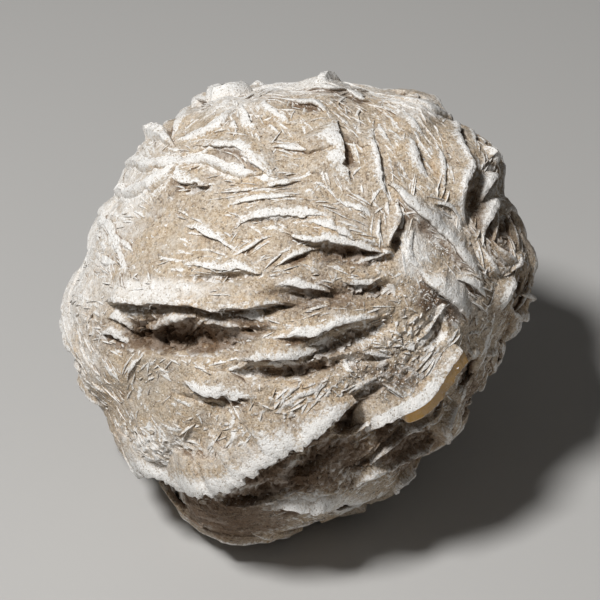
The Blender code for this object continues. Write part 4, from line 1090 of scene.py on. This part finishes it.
def paint(mesh, kind, crests, blades):
    """Where the stone is worn white, where painted shade and brown dirt darken its slots and hollows, where painted
    light whitens the sides facing the key lamp, where an
    edge is glassy: all measured from the shape."""
    q = coords(mesh) - MIDDLE
    d = unit(q)
    n1, n2, n3 = noise(q, 3.0 * MM, 31), noise(q, 1.1 * MM, 32), noise(q, 8.0 * MM, 33)
    x, y, zc = layout_of(q)
    if kind == "skin":
        k = crests.near(q)
        across, up = rim_measure(q, crests, k)
        big = smooth(0.35 * MM, 1.0 * MM, crests.w[k])
        lap = smooth(-2.2 - 0.5 * n2, -1.2, across) * smooth(0.4, -0.1, across)
        rim = 0.50 * lap * (0.3 + 0.7 * big) * crests.taper[k]
        rim = np.maximum(rim, 0.8 * smooth(0.32, 0.75, value_of(mesh, "streak")))
        rim = np.maximum(rim, 0.75 * smooth(0.08, 0.26, value_of(mesh, "broken")))
        hollow, slots = value_of(mesh, "hollow_mm"), value_of(mesh, "slot_mm")
        # painted shade with brown dirt: the deeper a hollow or slot lies, the darker the stone
        shade_and_dirt = smooth(0.5, 3.2, hollow) * (0.85 + 0.15 * n1)
        shade_and_dirt = np.maximum(shade_and_dirt, smooth(0.10, 0.55, slots) * 0.9)
    else:
        rim, shade_and_dirt = value_of(mesh, "white"), value_of(mesh, "shade_dirt")
        rim = rim * (0.93 + 0.12 * n2)
        # painted shade with brown dirt by zone: the stone darker and its rims less white where shade falls
        zone_shade_dirt = zone_amount(q, SHADE_AND_STAIN_ZONES)
        if kind != "blade" or mesh.name.startswith("fine"):
            rim = rim * (1 - 0.7 * smooth(0.35, 0.95, zone_shade_dirt))
        else:
            rim = rim * (1 - 0.3 * smooth(0.55, 0.95, zone_shade_dirt))
        shade_and_dirt = np.maximum(shade_and_dirt, 0.75 * zone_shade_dirt * (1 - 0.7 * rim))
    # painted light: the left and top sides, which face the key lamp, are painted paler, together with the real
    # whitened gypsum
    lit_side_dir = unit(np.array(-0.86 * RIGHT + 0.26 * UP - 0.05 * OUT))
    lit_top_dir = unit(np.array(0.05 * RIGHT + 1.0 * UP - 0.02 * OUT))
    pale_and_lit = 0.90 * smooth(0.74, 0.98, d @ lit_side_dir + 0.10 * n3 + 0.08 * n1)
    pale_and_lit = np.maximum(pale_and_lit, 0.55 * smooth(0.86, 0.99, d @ lit_top_dir + 0.04 * n3 + 0.04 * n1))
    pale_and_lit = np.maximum(pale_and_lit, zone_amount(q, PALE_AND_LIT_ZONES) * (1 + 0.35 * n2))
    # painted shade with brown dirt by zone
    if kind == "skin":
        shade_and_dirt = np.maximum(shade_and_dirt, zone_amount(q, SHADE_AND_STAIN_ZONES) * (0.9 + 0.2 * n1))
    amber = value_of(mesh, "glass") if kind != "skin" else np.zeros(len(q))
    spark = np.zeros(len(q))
    for sx, sy, rx, ry in SPARKLE:
        spark = np.maximum(spark, np.exp(-(((x - sx) / rx) ** 2 + ((y - sy) / ry) ** 2) ** 2) * (zc > 0))
    if kind == "grains":
        spark = value_of(mesh, "glint")
    grey = smooth(0.2, 0.7, n3 * 0.6 + 0.4 * noise(q, 5.0 * MM, 35)) * 0.8
    for name, values in (("rim", rim), ("shade_and_dirt", shade_and_dirt), ("pale_and_lit", pale_and_lit), ("amber", amber),
                         ("spark", spark), ("grey", grey)):
        at = mesh.attributes.new(name, "FLOAT", "POINT")
        at.data.foreach_set("value", np.clip(values, 0, 1).astype(np.float32))


# patches of sugary crystal sparkle, in layout units
SPARKLE = [
    (415, 288, 22, 14), (237, 322, 24, 12), (352, 362, 9, 9), (325, 390, 7, 6),
    (375, 345, 27, 7), (432, 365, 16, 9), (400, 345, 14, 10), (300, 420, 14, 6),
    (395, 372, 36, 20), (350, 382, 16, 10), (440, 300, 14, 30), (440, 245, 24, 12),
]


# ------------------------------------------------------------------- materials
class Nodes:
    def __init__(self, mat):
        mat.use_nodes = True
        self.t = mat.node_tree
        self.t.nodes.clear()

    def add(self, kind, **kw):
        n = self.t.nodes.new(kind)
        for key, value in kw.items():
            setattr(n, key, value)
        return n

    def wire(self, a, b):
        self.t.links.new(a, b)

    def math(self, op, a, b=None, clamp=False):
        n = self.add("ShaderNodeMath", operation=op, use_clamp=clamp)
        for i, v in enumerate((a, b)):
            if v is None:
                continue
            if isinstance(v, (int, float)):
                n.inputs[i].default_value = v
            else:
                self.wire(v, n.inputs[i])
        return n.outputs[0]

    def mix(self, fac, a, b, mode="MIX"):
        n = self.add("ShaderNodeMix", data_type="RGBA", blend_type=mode, clamp_factor=True)
        for sock, v in ((n.inputs[0], fac), (n.inputs[6], a), (n.inputs[7], b)):
            if isinstance(v, (int, float)):
                sock.default_value = v
            elif isinstance(v, tuple):
                sock.default_value = (*v, 1.0)
            else:
                self.wire(v, sock)
        return n.outputs[2]

    def ramp(self, fac, stops, mode="LINEAR"):
        n = self.add("ShaderNodeValToRGB")
        cr = n.color_ramp
        cr.interpolation = mode
        while len(cr.elements) > 1:
            cr.elements.remove(cr.elements[-1])
        for i, (pos, col) in enumerate(stops):
            e = cr.elements[0] if i == 0 else cr.elements.new(pos)
            e.position = pos
            e.color = (*col, 1.0)
        self.wire(fac, n.inputs[0])
        return n.outputs[0]

    def patchy(self, amount, texture, middle, spread, gain):
        """A soft amount turned into ragged patches by a texture about 0.5."""
        edge = self.math("MULTIPLY", self.math("SUBTRACT", texture, 0.5), spread)
        past = self.math("SUBTRACT", amount, self.math("ADD", edge, middle))
        return self.math("ADD", self.math("MULTIPLY", past, gain), 0.5, True)

    def attr(self, name):
        n = self.add("ShaderNodeAttribute", attribute_name=name, attribute_type="GEOMETRY")
        return n.outputs["Fac"]

    def noise(self, vec, size, detail=4.0, rough=0.55):
        n = self.add("ShaderNodeTexNoise")
        n.inputs["Scale"].default_value = 1.0 / size
        n.inputs["Detail"].default_value = detail
        n.inputs["Roughness"].default_value = rough
        self.wire(vec, n.inputs["Vector"])
        return n.outputs["Fac"]

    def voronoi(self, vec, size, feature="F1", randomness=1.0):
        n = self.add("ShaderNodeTexVoronoi", feature=feature)
        n.inputs["Scale"].default_value = 1.0 / size
        n.inputs["Randomness"].default_value = randomness
        self.wire(vec, n.inputs["Vector"])
        return n


def stone_material():
    mat = bpy.data.materials.new("sand_gypsum")
    g = Nodes(mat)
    out = g.add("ShaderNodeOutputMaterial")
    bsdf = g.add("ShaderNodeBsdfPrincipled")
    g.wire(bsdf.outputs[0], out.inputs[0])
    vec = g.add("ShaderNodeTexCoord").outputs["Object"]

    rim, shade_and_dirt, pale_and_lit = g.attr("rim"), g.attr("shade_and_dirt"), g.attr("pale_and_lit")
    amber, spark, grey = g.attr("amber"), g.attr("spark"), g.attr("grey")

    # single sand grains, two sizes
    fine = g.voronoi(vec, 0.20 * MM)
    coarse = g.voronoi(vec, 0.36 * MM)
    fine_id = g.add("ShaderNodeSeparateColor")
    g.wire(fine.outputs["Color"], fine_id.inputs[0])
    coarse_id = g.add("ShaderNodeSeparateColor")
    g.wire(coarse.outputs["Color"], coarse_id.inputs[0])
    grain = g.ramp(fine_id.outputs[0], [
        (0.00, (0.075, 0.058, 0.045)), (0.05, (0.19, 0.140, 0.098)), (0.14, (0.38, 0.300, 0.220)),
        (0.35, (0.48, 0.395, 0.300)), (0.60, (0.55, 0.465, 0.365)), (0.80, (0.62, 0.545, 0.445)),
        (0.93, (0.72, 0.670, 0.590)), (1.00, (0.82, 0.795, 0.755))])
    grit = g.ramp(coarse_id.outputs[1], [
        (0.00, (0.045, 0.038, 0.034)), (0.040, (0.11, 0.080, 0.055)), (0.085, (0.30, 0.22, 0.145)),
        (0.30, (0.48, 0.400, 0.300)), (0.80, (0.56, 0.475, 0.370)), (0.95, (0.66, 0.59, 0.49)),
        (1.00, (0.84, 0.80, 0.74))], "CONSTANT")
    body = g.mix(0.42, grain, grit)

    # broad drifts: warm ochre, then greyer sand
    drift = g.noise(vec, 6.0 * MM, 3.0)
    warm = g.ramp(drift, [(0.35, (0.93, 0.90, 0.88)), (0.52, (1.03, 0.99, 0.93)), (0.68, (1.08, 0.98, 0.85))])
    body = g.mix(1.0, body, warm, "MULTIPLY")
    body = g.mix(g.math("MULTIPLY", grey, 0.40), body, (0.50, 0.44, 0.36))

    # gypsum powder caught between grains, patchy, and painted light that whitens the sides facing the key lamp
    dust = g.noise(vec, 1.3 * MM, 6.0, 0.72)
    dust = g.ramp(dust, [(0.48, (0, 0, 0)), (0.64, (1, 1, 1))])
    pale_and_lit_mix = g.math("MULTIPLY", g.patchy(pale_and_lit, g.noise(vec, 1.1 * MM, 5.0, 0.7), 0.48, 1.5, 1.25), 0.76)
    powder_and_light = g.math("ADD", g.math("MULTIPLY", dust, 0.34), pale_and_lit_mix, True)
    chalk = g.ramp(fine_id.outputs[1], [(0.0, (0.38, 0.33, 0.28)), (0.05, (0.60, 0.56, 0.51)),
                                        (0.13, (0.80, 0.775, 0.74)), (0.5, (0.87, 0.86, 0.84)), (1.0, (0.95, 0.945, 0.93))])
    body = g.mix(powder_and_light, body, chalk)

    # worn rims: chalky white with sand still caught in the pits
    rim_mix = g.patchy(rim, g.noise(vec, 0.60 * MM, 5.0, 0.72), 0.42, 2.1, 3.2)
    body = g.mix(g.math("MULTIPLY", rim_mix, 0.97), body, chalk)

    # painted shade with brown dirt in the slots and hollows, darker where they lie deeper
    ragged = g.patchy(shade_and_dirt, g.noise(vec, 0.9 * MM, 4.0, 0.65), 0.45, 1.4, 3.0)
    ragged = g.math("ADD", g.math("MULTIPLY", ragged, 0.5), g.math("MULTIPLY", shade_and_dirt, 0.5))
    # tint of the painted shade with brown dirt
    shade_dirt = g.mix(g.math("MULTIPLY", ragged, 0.94), (1.0, 1.0, 1.0), (0.22, 0.135, 0.070))
    body = g.mix(1.0, body, shade_dirt, "MULTIPLY")
    body = g.mix(g.math("MULTIPLY", amber, 0.95), body, (0.42, 0.225, 0.035))
    g.wire(body, bsdf.inputs["Base Color"])

    # dull sand, with some grains and crystal faces that catch the light
    flash = g.ramp(fine_id.outputs[2], [(0.0, (1, 1, 1)), (0.90, (1, 1, 1)), (0.93, (0, 0, 0))], "CONSTANT")
    rough = g.mix(flash, (0.22, 0.22, 0.22), (0.86, 0.86, 0.86))
    rough = g.mix(g.math("MULTIPLY", spark, 0.75), rough, (0.20, 0.20, 0.20))
    rough = g.mix(amber, rough, (0.12, 0.12, 0.12))
    g.wire(rough, bsdf.inputs["Roughness"])
    bsdf.inputs["IOR"].default_value = 1.52
    g.wire(g.math("SUBTRACT", 0.5, g.math("MULTIPLY", amber, 0.5)), bsdf.inputs["Specular IOR Level"])
    g.wire(g.math("MULTIPLY", amber, 0.12), bsdf.inputs["Transmission Weight"])   # the clear broken side
    bsdf.inputs["Subsurface Weight"].default_value = 0.0

    # relief of the grains
    bump1 = g.add("ShaderNodeBump")
    bump1.inputs["Strength"].default_value = 0.70
    bump1.inputs["Distance"].default_value = 0.10 * MM
    height = g.math("MULTIPLY", fine.outputs["Distance"], -1.0)
    height = g.math("ADD", height, g.math("MULTIPLY", coarse.outputs["Distance"], -0.9))
    height = g.math("ADD", height, g.math("MULTIPLY", g.noise(vec, 0.45 * MM, 3.0, 0.6), 1.6))
    keep = g.math("SUBTRACT", 1.0, g.math("MULTIPLY", amber, 0.9))
    g.wire(g.math("MULTIPLY", height, keep), bump1.inputs["Height"])
    bump2 = g.add("ShaderNodeBump")
    bump2.inputs["Strength"].default_value = 0.7
    bump2.inputs["Distance"].default_value = 0.25 * MM
    g.wire(g.noise(vec, 1.3 * MM, 5.0, 0.65), bump2.inputs["Height"])
    g.wire(bump1.outputs[0], bump2.inputs["Normal"])
    g.wire(bump2.outputs[0], bsdf.inputs["Normal"])
    return mat


def plain_material(name, colour, rough):
    mat = bpy.data.materials.new(name)
    mat.use_nodes = True
    bsdf = mat.node_tree.nodes["Principled BSDF"]
    bsdf.inputs["Base Color"].default_value = (*colour, 1.0)
    bsdf.inputs["Roughness"].default_value = rough
    return mat


# ----------------------------------------------------------------------- stage
def stage():
    bm = bmesh.new()
    bmesh.ops.create_grid(bm, x_segments=1, y_segments=1, size=1.2)
    mesh = bpy.data.meshes.new("floor")
    bm.to_mesh(mesh)
    bm.free()
    floor = link("floor", mesh)
    mesh.materials.append(plain_material("floor", (0.50, 0.495, 0.485), 0.9))

    target = MIDDLE - RIGHT * LU + UP * 4 * LU
    cam = bpy.data.cameras.new("camera")
    cam.sensor_width = 36.0
    cam.lens = 36.0 * APEX / (600 * LU)
    cam.clip_start = 0.01
    cam.clip_end = 20.0
    ob = bpy.data.objects.new("camera", cam)
    bpy.context.scene.collection.objects.link(ob)
    ob.location = Vector(target + OUT * APEX)
    ob.rotation_euler = (math.radians(90.0 - FACE_ELEVATION), 0.0, 0.0)
    bpy.context.scene.camera = ob

    def area(name, direction, distance, size, power, colour):
        light = bpy.data.lights.new(name, "AREA")
        light.shape = "DISK"
        light.size = size
        light.energy = power
        light.color = colour
        lamp = bpy.data.objects.new(name, light)
        bpy.context.scene.collection.objects.link(lamp)
        at = MIDDLE + unit(np.array(direction)) * distance
        lamp.location = Vector(at)
        lamp.rotation_euler = Vector(unit(np.array(direction))).to_track_quat("Z", "Y").to_euler()

    area("key", -0.34 * RIGHT + 0.48 * UP + 0.80 * OUT, 0.60, 0.11, 3.8, (1.0, 0.99, 0.975))
    area("fill", 0.5 * RIGHT + 0.25 * UP + 0.8 * OUT, 0.8, 0.5, 0.14, (1.0, 0.98, 0.95))
    world = bpy.data.worlds.new("studio")
    bpy.context.scene.world = world
    world.use_nodes = True
    world.node_tree.nodes["Background"].inputs[0].default_value = (1.0, 0.97, 0.93, 1.0)
    world.node_tree.nodes["Background"].inputs[1].default_value = 0.06
    bpy.context.scene.view_settings.view_transform = "Standard"


# ------------------------------------------------------------------------ main
stage()
main_blades, lump_rows = large_blades()
small_blades = fine_blades(main_blades, np.random.default_rng(SEED + 2))
small_blades += layers(main_blades, np.random.default_rng(SEED + 3))
seat_blades(main_blades + small_blades, main_blades, lump_rows)
small_blades = [b for b in small_blades if b.seat[:, 2].min() + MIDDLE[2] > 0.6 * MM]
crests = Crests(main_blades)
stone = stone_material()
ball = skin_mesh(main_blades, small_blades, lump_rows)
pieces = [
    ("sand_rose_mass", "skin", half(ball, "front", True)),
    ("sand_rose_mass_back", "skin", half(ball, "rear", False)),
    ("sand_rose_blades_face", "blade", shells_mesh("face", [b for b in main_blades if b.name not in ("back", "mid")])),
    ("sand_rose_blades_back", "blade", shells_mesh("back", [b for b in main_blades if b.name in ("back", "mid")])),
    ("sand_rose_blades_fine", "blade", shells_mesh("fine_front", [b for b in small_blades if b.mid @ OUT > 0])),
    ("sand_rose_blades_fine_back", "blade", shells_mesh("fine_back", [b for b in small_blades if b.mid @ OUT <= 0])),
]
loose = grains([(ball, 7000, 3300), (pieces[2][2], 900, 700)], np.random.default_rng(SEED + 5))
pieces.append(("sand_rose_grains", "grains", loose))
bpy.data.meshes.remove(ball)
total = 0
for name, kind, mesh in pieces:
    paint(mesh, kind, crests, main_blades)
    mesh.name = name
    wear_flat(mesh)
    total += len(mesh.polygons)
    mesh.polygons.foreach_set("use_smooth", np.full(len(mesh.polygons), kind != "grains"))
    if kind != "grains":                     # flakes and rims break at crisp edges
        mesh.set_sharp_from_angle(angle=math.radians(34 if kind == "blade" else 40))
    mesh.materials.append(stone)
    piece = link(name, mesh)
    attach(piece, "root")
    if name == "sand_rose_mass":
        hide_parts("sand_rose")

print("triangles in all", total)
bpy.context.view_layer.update()
